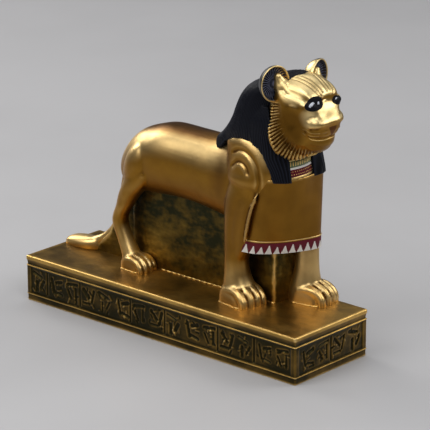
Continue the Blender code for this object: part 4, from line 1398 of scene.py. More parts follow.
@dataclass(frozen=True)
class Ear:
    """A round ear: a dished shell in a thin rim, a fluted dark lining, and a lobe.

    Attributes:
        side: Which ear.
        centre: Its middle, carved.
        taller: Share by which it is taller than wide.
        yaw: Degrees turned outward.
        shell: Along and radius, from the back's middle over the rim to the dish's middle.
        lining: The lining's front, along and radius, from its edge in.
        lobe: The lobe that runs into the temple: ahead, toward the middle, up, radius.
        flutes: How many flutes go round the lining.
    """

    side: Side
    centre: Row
    taller: float
    yaw: float = 13.0
    shell: Rows = (
        (-7.0, 1.5), (-6.2, 4.6), (-4.0, 7.2), (-1.2, 8.7), (0.6, 9.1), (1.2, 8.75), (0.7, 8.25),
        (-1.2, 7.4), (-2.0, 4.8), (-1.3, 3.0), (-0.5, 1.0),
    )
    lining: Rows = ((0.6, 8.3), (-0.9, 7.5), (-1.7, 5.1), (-1.0, 3.1), (-0.2, 1.1))
    lobe: Rows = (
        (0.3, 2.2, 3.2, 2.2), (0.9, 3.6, -0.6, 4.3), (3.4, 4.6, -4.1, 4.6), (8.0, 5.0, -7.4, 4.0),
        (12.0, 5.2, -9.6, 2.6),
    )
    flutes: int = 30

    def rings(self, space: Space, rows: list[tuple[float, float, float]], steps: int) -> list[Ring]:
        """Rings about the ear's axis.

        Args:
            space: Where the carved millimetres lie.
            rows: Along, radius and depth of fluting.
            steps: How many points a ring has.

        Returns:
            The rings.
        """
        centre = space.at(*self.centre)
        turn = Euler((0.0, 0.0, math.radians(self.yaw * self.side.value)), "XYZ").to_matrix()
        out = []
        for along, radius, fluted in rows:
            ring = []
            for a in turns(steps):
                ahead = along + fluted * math.cos(a * self.flutes)
                local = Vector((ahead, radius * math.cos(a), radius * self.taller * math.sin(a)))
                ring.append(centre + turn @ local * MM)
            out.append(ring)
        return out

    def hidden_side(self, points: np.ndarray) -> np.ndarray:
        """How much each point of the shell lies on its outer back, which is black like the wig."""
        turn = math.radians(self.yaw * self.side.value)
        x, y, _ = (points - self.centre).T
        ahead = x * math.cos(turn) + y * math.sin(turn)
        outward = (y * math.cos(turn) - x * math.sin(turn)) * self.side.value
        return risen(ahead, 0.95, -0.3) * risen(outward, -2.5, 1.5)

    def build(self, shop: Workshop) -> None:
        """Makes the ear's three pieces."""
        rows = [(along, radius, 0.0) for along, radius in smooth_rows(self.shell, 5)]
        rings = self.rings(shop.space, rows, 128)
        shell = Skin(object_through(f"{self.side.word}_ear", rings), shop.space)
        shell.note("hair", self.hidden_side(shell.points))
        # Painted highlight over the whole shell.
        shell.note_shading_and_wear(4.0, least_highlight=0.75)
        shop.place(shell.obj, HEAD_GOLD)
        front = smooth_rows(self.lining, 5)
        rows = [(along - 0.7, radius, 0.0) for along, radius in reversed(front)]
        rows += [(along, radius, 0.42 if 2.6 < radius < 8.1 else 0.0) for along, radius in front]
        rings = self.rings(shop.space, rows, self.flutes * 8)
        lining = Skin(object_through(f"{self.side.word}_ear_lining", rings), shop.space)
        lining.note_shading_and_wear(20.0, 1)
        shop.place(lining.obj, SLATE)
        clay = Clay(shop.space)
        x, y, z = self.centre
        s = self.side.value
        rows = tuple((x + ahead, y - inward * s, z + up, r) for ahead, inward, up, r in self.lobe)
        clay.tube(rows, 28, 6)
        lobe = clay.skin(f"{self.side.word}_ear_lobe", 0.0004, 3)
        # Painted highlight over the whole lobe.
        lobe.note_shading_and_wear(6.0, least_highlight=0.6)
        shop.place(lobe.obj, HEAD_LOBE)


@dataclass(frozen=True)
class Wig:
    """The striped wig: its mass behind the face and two lappets down the chest.

    Attributes:
        shoulder_hem: Along and height of the edge where it lies on the back and the shoulders.
        mass: Level sections from the crown down: back, front, height, half width, squareness.
        lappets: For each side, height and then plan points from the outer to the inner edge.
        lappet_depth: How thick a lappet is.
        back_edge: Height and where the strands start behind.
        front_edge: Height and where the strands end ahead.
        half_width: Height and half the width that the strands are laid out on.
        strands: Strands to a radian of turn.
        depth: How deep the strands are cut.
        voxel: Cell of its skin, in metres.
    """

    shoulder_hem: Rows = (
        (16.0, 79.0), (19.1, 80.4), (25.1, 84.2), (30.5, 89.0), (37.2, 92.2), (43.6, 93.7),
        (47.7, 93.4), (52.5, 92.3), (56.9, 90.4), (59.2, 87.6), (61.1, 84.1), (63.0, 80.0),
        (64.6, 75.9), (65.8, 72.0), (66.6, 60.0),
    )
    mass: Rows = (
        (66.0, 71.5, 131.0, 3.0, 2.0), (61.8, 73.0, 130.0, 7.0, 2.0), (55.8, 72.5, 128.0, 11.4, 2.0),
        (49.0, 70.5, 125.3, 14.6, 2.1), (42.0, 69.0, 121.8, 16.8, 2.1), (36.8, 67.5, 116.4, 18.0, 2.1),
        (33.4, 66.0, 110.0, 18.6, 2.1), (30.6, 65.0, 103.5, 18.8, 2.1), (27.0, 65.0, 97.5, 18.4, 2.2),
        (22.0, 65.0, 92.0, 16.5, 2.3), (17.3, 64.0, 87.3, 14.5, 2.6), (17.0, 62.0, 80.0, 13.0, 3.0),
    )
    lappets: tuple = (
        (
            Side.RIGHT,
            (
                (114.0, 52.5, 16.0, 58.0, 16.8, 63.0, 16.6),
                (106.0, 50.0, 18.5, 58.5, 18.9, 65.5, 17.9), (99.0, 50.5, 18.4, 59.5, 18.5, 66.5, 16.2),
                (93.0, 53.0, 18.2, 61.5, 17.5, 68.0, 12.4), (86.0, 57.0, 18.0, 65.0, 15.5, 70.4, 9.0),
                (79.0, 61.5, 17.4, 67.7, 14.1, 72.0, 8.8), (72.8, 64.4, 16.7, 69.5, 13.5, 73.1, 9.0),
            ),
        ),
        (
            Side.LEFT,
            (
                (114.0, 52.5, 16.0, 58.0, 16.8, 63.0, 16.6),
                (106.0, 50.5, 18.5, 58.5, 18.9, 65.5, 17.9), (99.0, 53.0, 18.8, 61.0, 18.6, 67.0, 16.0),
                (93.0, 59.0, 19.3, 65.6, 18.0, 68.8, 12.4), (86.0, 67.5, 20.2, 70.8, 16.0, 71.1, 9.0),
                (79.0, 70.8, 20.2, 73.0, 15.0, 72.6, 8.8), (72.8, 72.2, 19.9, 74.2, 14.5, 73.5, 8.8),
            ),
        ),
    )
    lappet_depth: float = 9.0
    back_edge: Rows = (
        (71.5, 43.0), (79.0, 33.0), (86.0, 20.0), (92.0, 22.0), (97.5, 27.0), (103.5, 30.6),
        (110.0, 33.4), (116.4, 36.8), (121.8, 42.0), (125.3, 49.0), (127.9, 55.8), (129.7, 62.0),
        (131.5, 66.0),
    )
    front_edge: Rows = (
        (71.5, 73.0), (79.0, 71.8), (86.0, 70.3), (92.0, 69.5), (97.5, 68.0), (103.5, 66.5),
        (110.0, 66.3), (116.4, 67.5), (121.8, 69.0), (125.3, 70.8), (127.9, 72.4), (129.7, 73.0),
        (131.5, 72.0),
    )
    half_width: Rows = (
        (71.5, 16.0), (86.0, 16.0), (92.0, 16.5), (97.5, 18.4), (103.5, 18.8), (116.4, 18.0),
        (121.8, 16.8), (125.3, 14.4), (127.9, 11.2), (129.7, 7.0), (131.5, 4.0),
    )
    strands: float = 18.0
    depth: float = 0.30
    voxel: float = 0.00037

    def across(self, points: np.ndarray) -> np.ndarray:
        """How far round from the back's middle each point lies, in radians.

        Args:
            points: Carved points.

        Returns:
            The turn of each point.
        """
        x, y, z = points.T
        back = np.interp(z, *np.array(self.back_edge).T)
        front = np.interp(z, *np.array(self.front_edge).T)
        half = np.interp(z, *np.array(self.half_width).T)
        share = ((back + front) / 2 - x) / ((front - back) / 2)
        behind = np.arctan2(np.abs(y) / half, np.clip(share, 0.001, None))
        return np.where(share > 0.0, behind, math.pi / 2 - share)

    def build(self, shop: Workshop) -> None:
        """Makes the wig."""
        clay = Clay(shop.space)
        clay.loft_z(
            tuple(
                ((back + front) / 2, 0.0, z, (front - back) / 2, half, power)
                for back, front, z, half, power in self.mass
            )
        )
        for side, rows in self.lappets:
            s = side.value
            rings = []
            for row in smooth_rows(rows, 4):
                z, *flat = row
                edge = smooth_rows(tuple(zip(flat[0::2], flat[1::2])), 6)
                front = [shop.space.at(x, y * s, z) for x, y in edge]
                back = [shop.space.at(x - self.lappet_depth, y * s * 0.7, z) for x, y in reversed(edge)]
                rings.append(front + back)
            skin_rings(clay.builder, rings)
        skin = clay.skin("wig", self.voxel, 6)
        hem = np.interp(skin.points[:, 0], *np.array(self.shoulder_hem).T)
        below = risen(hem, skin.points[:, 2], 0.5) * (np.abs(skin.points[:, 1]) > 5.0)
        skin.push(-below * np.interp(skin.points[:, 0], (30.0, 36.0), (3.6, 2.4)))
        turn = self.across(skin.points)
        wave = np.cos(2.0 * math.pi * self.strands * turn)
        gather = np.cos(2.0 * math.pi * self.strands / 5.0 * turn + 0.8)
        skin.push(self.depth * (wave * 0.5 + gather * 0.15) * (1.0 - below))
        # Painted sheen along the strands' crests.
        skin.note("crest_sheen", 0.5 + 0.5 * wave)
        skin.note_shading_and_wear(8.0)
        shop.place(skin.obj, HAIR)


@dataclass(frozen=True)
class Bib:
    """The apron under the wig, its painted hem, and the banded collar above it.

    Attributes:
        top: Its edge in plan at the top, from the right shoulder round to the left.
        hem: The same at the hem.
        top_z: Height of the top.
        hem_z: Height of the hem.
        depth: How thick it is.
        band: Height of the red band.
        points: How many white points the band has.
        point_height: How tall they are.
        collar_half: Half the collar's width between the lappets.
        collar_top: Height of the collar's upper edge.
        collar_front: Where its middle lies ahead, at the height of collar_zero.
        collar_zero: That height.
        collar_slope: How far ahead it comes for each step down.
        collar_bend: How quickly it falls back from its middle.
    """

    top: Rows = (
        (54.5, -17.0), (64.0, -15.5), (70.5, -9.0), (73.2, 0.0), (73.3, 9.5), (72.8, 16.3),
        (70.8, 19.4),
    )
    hem: Rows = (
        (45.5, -18.0), (54.0, -15.8), (62.0, -8.5), (67.5, 0.0), (71.5, 8.5), (72.3, 15.2),
        (68.4, 19.4),
    )
    top_z: float = 74.0
    hem_z: float = 31.0
    depth: float = 7.0
    band: float = 6.4
    points: int = 12
    point_height: float = 4.7
    collar_half: float = 9.2
    collar_top: float = 84.9
    collar_front: float = 71.5
    collar_zero: float = 84.0
    collar_slope: float = 0.17
    collar_bend: float = 0.020

    def edge(self, z: float, out: float, steps: int = 10) -> Path:
        """The apron's edge in plan at a height.

        Args:
            z: The height, carved.
            out: How far outside it the points lie.
            steps: Points to a gap.

        Returns:
            Plan points, carved.
        """
        t = (self.top_z - z) / (self.top_z - self.hem_z)
        rows = [
            (a[0] + (b[0] - a[0]) * t, a[1] + (b[1] - a[1]) * t)
            for a, b in zip(smooth_rows(self.top, steps), smooth_rows(self.hem, steps))
        ]
        return self.beside(rows, out)

    def throat_x(self, y: float, z: float) -> float:
        """How far ahead the collar lies at a side and height."""
        return self.collar_front + (self.collar_zero - z) * self.collar_slope - self.collar_bend * y * y

    def throat(self, z: float, out: float) -> Path:
        """The collar's curve in plan at a height."""
        sides = np.linspace(-self.collar_half, self.collar_half, 40)
        return self.beside([(self.throat_x(y, z), y) for y in sides], out)

    @staticmethod
    def beside(rows: Path, out: float) -> Path:
        """The path moved outward by out."""
        made = []
        for i, (x, y) in enumerate(rows):
            before = rows[max(i - 1, 0)]
            after = rows[min(i + 1, len(rows) - 1)]
            dx, dy = after[0] - before[0], after[1] - before[1]
            length = math.hypot(dx, dy)
            made.append((x + out * dy / length, y - out * dx / length))
        return made

    def ribbon(
        self, shop: Workshop, name: str, curve: Callable, low: float, high: float, out: float, finish: Finish
    ) -> None:
        """Makes a closed band that follows a curve.

        Args:
            shop: Where it is made.
            name: The piece's name.
            curve: Gives the plan path for a height and a distance outward.
            low: Its lower edge.
            high: Its upper edge.
            out: How far it stands out.
            finish: Its finish.
        """
        soft = min(0.3, (high - low) * 0.25)
        section = [
            (low, -0.6),
            (low, out - soft),
            (low + soft * 0.3, out - soft * 0.3),
            (low + soft, out),
            ((low + high) / 2, out + 0.02),
            (high - soft, out),
            (high - soft * 0.3, out - soft * 0.3),
            (high, out - soft),
            (high, -0.6),
        ]
        paths = [[shop.space.at(x, y, z) for x, y in curve(z, beside)] for z, beside in section]
        made = Skin(object_through(name, [list(ring) for ring in zip(*paths)]), shop.space)
        made.obj.data.set_sharp_from_angle(angle=math.radians(50))
        made.note_shading_and_wear(6.0)
        shop.place(made.obj, finish)

    def build(self, shop: Workshop) -> None:
        """Makes the apron, the hem and the collar."""
        clay = Clay(shop.space)
        rings = []
        for z in np.linspace(self.top_z, self.hem_z, 24):
            edge = self.edge(z, 0.0, 6)
            front = [shop.space.at(x, y, z) for x, y in edge]
            back = [shop.space.at(x - self.depth, y * 0.8, z) for x, y in reversed(edge)]
            rings.append(front + back)
        skin_rings(clay.builder, rings)
        skin = clay.skin("bib", 0.00062, 3)
        skin.note_shading_and_wear(8.0)
        shop.place(skin.obj, BIB_GOLD)
        low = self.hem_z + 0.1
        for name, bottom, top, out, finish in (
            ("hem_band", low, low + self.band, 0.16, RED),
            ("hem_line", low + self.band + 0.45, low + self.band + 1.05, 0.34, BRIGHT_GOLD),
        ):
            self.ribbon(shop, name, self.edge, bottom, top, out, finish)
        self.build_points(shop, low)
        self.build_collar(shop)

    def build_points(self, shop: Workshop, low: float) -> None:
        """Makes the row of white points along the hem."""
        paths = {out: np.array(self.edge(low, out, 40)) for out in (-0.2, 0.34)}
        high = {out: np.array(self.edge(low + self.point_height, out, 40)) for out in (-0.2, 0.34)}
        steps = np.hypot(*np.diff(paths[0.34], axis=0).T)
        gone = np.concatenate(([0.0], np.cumsum(steps))) / steps.sum()
        builder = bmesh.new()
        for i in range(self.points):
            middle = (i + 0.5) / self.points
            half = (0.47 - 0.05 * (i % 3 == 1)) / self.points
            height = self.point_height * (1.0 + 0.12 * math.sin(2.3 * i + 1.0))
            faces = []
            for out in (-0.2, 0.34):
                ring = []
                for share in np.linspace(-1.0, 1.0, 7):
                    x, y = (np.interp(middle + half * share, gone, paths[out][:, k]) for k in (0, 1))
                    ring.append(shop.space.at(x, y, low + 0.15))
                for share, up in ((0.55, 0.42), (0.12, 0.96), (-0.12, 0.96), (-0.55, 0.42)):
                    base = [np.interp(middle + half * share, gone, paths[out][:, k]) for k in (0, 1)]
                    peak = [np.interp(middle + half * share, gone, high[out][:, k]) for k in (0, 1)]
                    x, y = (b + (p - b) * up for b, p in zip(base, peak))
                    ring.append(shop.space.at(x, y, low + height * up))
                faces.append(ring)
            skin_rings(builder, faces)
        made = object_from(builder, "hem_points")
        made.data.shade_flat()
        shop.place(made, WHITE)

    def build_collar(self, shop: Workshop) -> None:
        """Makes the bands between the lappets."""
        z = self.collar_top
        for name, height, out, finish in (
            ("collar_edge", 0.7, 0.55, BRIGHT_GOLD),
            ("collar_green", 3.6, 0.30, GREEN),
            ("collar_white", 1.1, 0.50, WHITE),
            ("collar_red", 3.9, 0.30, RED),
            ("collar_foot", 1.0, 0.55, BRIGHT_GOLD),
        ):
            self.ribbon(shop, name, self.throat, z - height, z, out, finish)
            z -= height
        ticks = Clay(shop.space)
        for i in range(11):
            y = -7.9 + 1.58 * i
            ticks.lump((self.throat_x(y, 82.4) + 0.32, y, 82.4), (0.3, 0.28, 1.5))
        shop.place(object_from(ticks.builder, "collar_ticks"), BRIGHT_GOLD)
        dots = Clay(shop.space)
        for i in range(12):
            y = -8.2 + 1.49 * i
            for z in (78.4, 76.8):
                x = self.throat_x(y, z) + 0.30
                dots.lump((x, y + (0.35 if z < 77 else -0.35), z), (0.3, 0.3, 0.3))
        shop.place(object_from(dots.builder, "collar_dots"), BRIGHT_GOLD)


@dataclass(frozen=True)
class Eye:
    """One eye, laid on the head: a black almond with a raised rim, the painted whites and a painted glint.

    Attributes:
        side: Which eye.
        outline: The almond's edge on the skin, carved.
        whites_and_glints: Each white's middle, half width, half height and lean; the small one beside the
            iris is a painted glint.
        shrink: Share of the outline that the almond fills.
        proud: How far its edge stands out of the skin.
        bulge: How much further its middle stands out.
    """

    side: Side
    outline: Rows
    whites_and_glints: Rows
    shrink: float = 0.94
    proud: float = 0.3
    bulge: float = 0.08

    def build(self, shop: Workshop, bench: "Bench") -> None:
        """Makes the almond, its rim, the whites and the painted glint."""
        edge = smooth_loop(self.outline, 6)
        middle = sum(edge) / len(edge)
        edge = [middle + (point - middle) * self.shrink for point in edge]
        rings = [bench.laid(edge, -1.0), bench.laid(edge, self.proud)]
        for share in (0.94, 0.87, 0.78, 0.68, 0.57, 0.45, 0.33, 0.2, 0.07):
            shrunk = [middle + (point - middle) * share for point in edge]
            rings.append(bench.laid(shrunk, self.proud + self.bulge * (1.0 - share**2)))
        ball = object_through(f"{self.side.word}_eye", rings)
        shop.place(ball, BLACK)
        tree = BVHTree.FromObject(ball, bpy.context.evaluated_depsgraph_get())
        builder = bmesh.new()
        for x, y, z, wide, tall, lean in self.whites_and_glints:
            rings = []
            for share, out in ((1.0, -0.25), (1.0, 0.05), (0.7, 0.14), (0.35, 0.19), (0.06, 0.2)):
                ring = []
                for a in turns(24):
                    aside = wide * share * math.cos(a)
                    up = tall * share * math.sin(a)
                    spot = shop.space.at(x, y + aside + up * lean, z + up)
                    place, normal, _, _ = tree.find_nearest(spot)
                    ring.append(place + normal * out * MM)
                rings.append(ring)
            skin_rings(builder, rings)
        shop.place(object_from(builder, f"{self.side.word}_eye_whites_and_glints"), EYE_WHITE_AND_GLINT)
        rim = tuple(map(tuple, edge[::3]))
        bench.line(shop, f"{self.side.word}_eye_rim", rim, 0.38, 0.16, BLACK, True)


class Bench:
    """Lays points and lines on a finished skin."""

    def __init__(self, skin: Skin) -> None:
        """Reads the skin's surface."""
        self.space = skin.space
        self.tree = BVHTree.FromObject(skin.obj, bpy.context.evaluated_depsgraph_get())

    def laid(self, points: list[np.ndarray], out: float) -> Ring:
        """The points on the skin, moved outward."""
        ring = []
        for point in points:
            place, normal, _, _ = self.tree.find_nearest(self.space.at(*point))
            ring.append(place + normal * out * MM)
        return ring

    def line(
        self, shop: Workshop, name: str, path: Rows, radius: float, out: float, finish: Finish, closed: bool
    ) -> None:
        """Lays a fine tube along a path.

        Args:
            shop: Where it is made.
            name: The piece's name.
            path: Points near the skin, carved.
            radius: The tube's radius.
            out: How far its middle lies outside the skin.
            finish: Its finish.
            closed: True if it returns to its start.
        """
        places = []
        for spot in smooth_loop(path, 6) if closed else smooth_rows(path, 8):
            place, normal, _, _ = self.tree.find_nearest(self.space.at(*spot))
            places.append((place + normal * out * MM, normal))
        count = len(places)
        rings = []
        for i, (place, normal) in enumerate(places):
            before = places[(i - 1) % count if closed else max(i - 1, 0)][0]
            after = places[(i + 1) % count if closed else min(i + 1, count - 1)][0]
            ahead = (after - before).normalized()
            across = ahead.cross(normal).normalized()
            up = across.cross(ahead)
            share = 1.0
            if not closed:
                share = 0.35 + 0.65 * math.sin(math.pi * min(1.0, max(0.0, i / (count - 1)))) ** 0.5
            ring = []
            for a in turns(10):
                ring.append(place + (across * math.cos(a) + up * math.sin(a) * 0.7) * radius * share * MM)
            rings.append(ring)
        shop.place(object_through(name, rings, closed), finish)


RIGHT_EYE = Eye(
    Side.RIGHT,
    (
        (85.2, -13.9, 117.8), (85.4, -12.7, 119.9), (86.1, -10.4, 121.9), (86.6, -7.5, 122.3),
        (86.8, -4.0, 121.4), (87.0, -1.9, 118.8), (87.7, -2.7, 117.0), (88.6, -5.1, 115.8),
        (88.5, -9.2, 115.5), (87.4, -11.8, 115.7), (86.1, -13.5, 116.5),
    ),
    # The second white patch, beside the iris, is a painted glint.
    ((87.2, -10.9, 118.7, 1.9, 1.25, 0.5), (87.4, -6.2, 118.3, 0.8, 1.35, 0.15)),
)
LEFT_EYE = Eye(
    Side.LEFT,
    (
        (87.9, 5.4, 116.8), (87.4, 5.4, 118.2), (87.1, 7.0, 119.6), (86.9, 9.2, 119.6),
        (86.7, 11.0, 118.4), (86.8, 11.8, 116.8), (87.4, 11.2, 115.4), (88.2, 9.4, 114.9),
        (88.4, 7.2, 115.5),
    ),
    ((87.6, 8.2, 117.4, 0.9, 1.4, 0.1),),
    0.88,
)


@dataclass(frozen=True)
class Web:
    """The panels cast between the legs, from the belly to the plinth.

    Attributes:
        belly: (side, front) of the two faces of the belly's panel.
        tail: The tail panel's outline seen from the side.
        tail_faces: Sides of the two faces of the tail's panel.
        voxel: Cell of its skin, in metres.
    """

    belly: Rows = ((-4.5, 57.0), (13.0, 60.5))
    tail: Rows = (
        (-79.0, -2.0), (-40.0, -2.0), (-40.0, 56.0), (-50.0, 50.0), (-59.0, 28.0), (-66.5, 13.0),
        (-73.0, 7.0), (-79.0, 2.5),
    )
    tail_faces: Row = (-4.1, 3.0)
    voxel: float = 0.00070

    def build(self, shop: Workshop) -> None:
        """Makes the two panels in one uneven skin, the beads at their edges, and a painted highlight down
        the belly panel's front edge.
        """
        clay = Clay(shop.space)
        rings = []
        for side, front in self.belly:
            outline = ((-46.0, -2.0), (front, -2.0), (front, 58.0), (-40.0, 58.0), (-46.0, 40.0))
            rings.append([shop.space.at(x, side, z) for x, z in outline])
        skin_rings(clay.builder, rings)
        skin_rings(
            clay.builder, [[shop.space.at(x, side, z) for x, z in self.tail] for side in self.tail_faces]
        )
        skin = clay.skin("web", self.voxel, 2)
        x, y, z = skin.points.T
        swell = np.sin(x * 0.31 + 1.3 * np.sin(z * 0.23)) * np.sin(z * 0.37 + 0.9 * np.sin(x * 0.19 + y))
        chips = np.sin(x * 1.1 + 2.0 * np.sin(z * 0.8)) * np.sin(z * 1.3 + 1.7 * np.sin(x * 0.7))
        skin.push(0.11 * swell + 0.07 * chips)
        # Painted light: the web is lighter by the near hind paw, towards its foot and on its near face, and
        # darker up under the belly.
        by_paw = np.exp(-(((x + 33.0) / 12.0) ** 2) - ((z - 6.0) / 14.0) ** 2)
        skin.note("rub_and_light", 0.10 + 0.42 * by_paw + 0.30 * np.clip(1.0 - z / 42.0, 0.0, 1.0) + 0.25 * (y < -4.9))
        skin.note_shading_and_wear(10.0)
        shop.place(skin.obj, WEB)
        beads = Clay(shop.space)
        rows = []
        for i, x in enumerate(np.linspace(-25.0, 57.0, 60)):
            rows.append((x, -4.75 + 0.08 * math.sin(i * 1.7), 1.05, 0.42 + 0.13 * math.sin(i * 2.3)))
        beads.tube(tuple(rows), 8)
        for side in Side:
            self.foot_bead(beads, FORE_PAW, TRUNK.fore_heel(side), side)
            self.foot_bead(beads, HIND_PAW, TRUNK.hind_paw_heel(side), side)
        shop.place(object_from(beads.builder, "foot_beads"), BRIGHT_GOLD)
        # A bright gold line down the belly panel's front edge: a painted highlight.
        edge = Clay(shop.space)
        rows = []
        for i, z in enumerate(np.linspace(1.0, 33.0, 18)):
            rows.append((57.0 + 0.1 * math.sin(i), -4.25, z, 0.34 + 0.1 * math.sin(i * 1.9)))
        edge.tube(tuple(rows), 8)
        shop.place(object_from(edge.builder, "web_edge_highlight"), BRIGHT_GOLD)

    @staticmethod
    def foot_bead(beads: Clay, paw: Paw, heel: Vector, side: Side) -> None:
        """Adds the bead round a paw's outer side and toes."""
        outline = paw.outline(heel, side, paw.rows[0], 96, 0.35)
        front = outline[-30:] + outline[:31]
        rows = []
        for i, point in enumerate(front[::2]):
            rows.append((point.x, point.y, 0.95, 0.36 + 0.12 * math.sin(i * 2.1)))
        beads.tube(tuple(rows), 8)


@dataclass(frozen=True)
class Plinth:
    """The moulded block, with rows of shallow strokes sunk into its sides.

    Attributes:
        length: Along the statue, in millimetres as all that follows.
        width: Across it.
        height: Up to the top.
        corner: Radius of the upright corners.
        lip: Height of the lip at the top.
        cove: Height of the hollow under the lip.
        bead: Height of the two beads that border the panels.
        foot: Height of the foot.
        cove_inset: How far in the cove's deepest line lies.
        panel_inset: How far in the panels lie.
        bead_inset: How far in the beads' crests lie.
        foot_inset: How far in the foot lies.
        field_depth: How deep the field of the strokes is sunk.
        field_edge: Strip between the beads and the field.
        corner_strip: Strip between the corners and the field.
        stroke_depth: How deep the strokes are cut.
        stroke_width: Room kept beside a cell's edge.
        cell: Length of a cell of strokes.
        margin: Room kept above and below the strokes.
        pitch: Distance between the mesh's columns.
        cells: The strokes of a cell: across, up, share of its length, tilt in degrees.
    """

    length: float = 200.0
    width: float = 60.0
    height: float = 26.7
    corner: float = 1.2
    lip: float = 2.6
    cove: float = 2.5
    bead: float = 1.0
    foot: float = 3.7
    cove_inset: float = 0.8
    panel_inset: float = 0.4
    bead_inset: float = 0.1
    foot_inset: float = 0.6
    field_depth: float = 0.4
    field_edge: float = 0.3
    corner_strip: float = 3.2
    stroke_depth: float = 0.7
    stroke_width: float = 1.0
    cell: float = 13.0
    margin: float = 1.0
    pitch: float = 0.44
    cells: tuple = (
        ((0.35, 0.80, 0.50, 18.0), (0.30, 0.28, 0.40, 90.0), (0.66, 0.40, 0.36, -60.0)),
        ((0.30, 0.52, 0.62, 78.0), (0.68, 0.74, 0.34, -20.0), (0.68, 0.24, 0.36, 12.0)),
        ((0.50, 0.84, 0.56, -8.0), (0.32, 0.38, 0.42, 62.0), (0.72, 0.44, 0.52, 90.0)),
        ((0.34, 0.22, 0.40, 0.0), (0.34, 0.64, 0.44, 48.0), (0.74, 0.56, 0.56, -74.0)),
    )

    def profile(self) -> list[tuple[float, float, float]]:
        """(inset, height, how rubbed and lit) rows up the moulded side, over both ends."""
        top = self.height
        lip_low = top - self.lip
        cove_low = lip_low - self.cove
        bead_low = cove_low - self.bead
        rows = [(8.0, 0.0, 0.1), (3.0, 0.0, 0.1), (1.1, 0.0, 0.1), (self.foot_inset, 0.25, 0.25)]
        rows += [(self.foot_inset, z, 0.12) for z in np.linspace(0.8, self.foot - 0.2, 5)]
        for low, under, over in (
            (self.foot, self.foot_inset, self.panel_inset),
            (bead_low, self.panel_inset, self.cove_inset),
        ):
            if low == bead_low:
                heights = np.arange(self.foot + self.bead + 0.2, low - 0.1, 0.40)
                rows += [(self.panel_inset, z, 0.14) for z in heights]
            # The beads' crests are bright: rubbed gold with a painted highlight.
            for share in (0.0, 0.2, 0.4, 0.6, 0.8, 1.0):
                bulge = math.sin(math.pi * share)
                inset = under + (over - under) * share
                rows.append(
                    (inset + (self.bead_inset - inset) * bulge, low + self.bead * share, 0.1 + 0.75 * bulge)
                )
        for share in (0.1, 0.2, 0.35, 0.5, 0.65, 0.8, 0.92):
            inset = self.cove_inset * (1.0 - 0.55 * share**2)
            rows.append((inset, cove_low + self.cove * share, 0.10 + 0.30 * share))
        # The lip's rounded edge is brightest: rubbed gold with a painted highlight.
        rows += [
            (self.lip * 0.14, lip_low, 0.42),
            (self.lip * 0.07, lip_low + self.lip * 0.10, 0.48),
            (0.0, lip_low + self.lip * 0.28, 0.55),
            (0.0, lip_low + self.lip * 0.46, 0.55),
            (0.0, top - self.lip * 0.35, 0.65),
            (self.lip * 0.04, top - self.lip * 0.20, 0.85),
            (self.lip * 0.14, top - self.lip * 0.08, 0.95),
            (self.lip * 0.28, top - self.lip * 0.02, 0.9),
            (self.lip * 0.42, top, 0.75),
            (self.lip * 0.75, top, 0.74),
            (self.lip * 1.6, top, 0.64),
            (8.0, top, 0.64),
        ]
        return rows

    def columns(self) -> list[tuple[int, float, Vector, Vector]]:
        """Round the plinth: side, way along it, corner middle or foot of the column, outward way."""
        half_x = self.length / 2 - self.corner
        half_y = self.width / 2 - self.corner
        out = []
        for side in range(4):
            turn = math.radians(90.0 * side)
            ahead = Vector((math.cos(turn), math.sin(turn), 0.0))
            away = Vector((math.sin(turn), -math.cos(turn), 0.0))
            along, across = (half_x, half_y) if side % 2 == 0 else (half_y, half_x)
            for x in np.linspace(-along, along, round(2 * along / self.pitch)):
                out.append((side, float(x), ahead * float(x) + away * across, away))
            corner = ahead * along + away * across
            for share in (0.25, 0.5, 0.75):
                a = share * math.pi / 2
                out.append((-1, 0.0, corner, away * math.cos(a) + ahead * math.sin(a)))
        return out

    def strokes(self, side: int, low: float, high: float) -> np.ndarray:
        """A side's strokes: two ends, half width and how far out each stands."""
        length = (self.length if side % 2 == 0 else self.width) - 2 * (self.panel_inset + self.corner_strip)
        count = round(length / self.cell)
        cell = length / count
        room = high - low - 2 * self.margin
        made = []
        draw = np.random.default_rng(7 + side)
        for i in range(count):
            left = -length / 2 + i * cell
            if i and (i + side) % 5 in (1, 3):
                made.append((left, low + self.margin, left, high - self.margin, 0.35, -self.stroke_depth))
            for across, up, share, tilt in self.cells[(i + side) % len(self.cells)]:
                x = left + self.stroke_width + across * (cell - self.stroke_width)
                z = low + self.margin + up * room
                half = share * cell / 2
                dx = half * math.cos(math.radians(tilt))
                dz = -half * math.sin(math.radians(tilt))
                wide = draw.uniform(0.35, 1.05)
                made.append((x - dx, z - dz, x + dx, z + dz, wide, -self.stroke_depth))
            # Small raised bits, which take painted glints, and small nicks.
            for _ in range(8):
                x = left + draw.uniform(0.12, 0.9) * cell
                z = low + self.margin + draw.uniform(0.05, 0.95) * room
                half = draw.uniform(0.3, 1.6)
                tilt = draw.choice((0.0, 0.3, 1.2, 1.57, -0.9))
                dx, dz = half * math.cos(tilt), half * math.sin(tilt)
                wide, out = draw.uniform(0.3, 0.5), draw.choice((0.3, 0.35, -0.45))
                made.append((x - dx, z - dz, x + dx, z + dz, wide, out))
        return np.array(made)

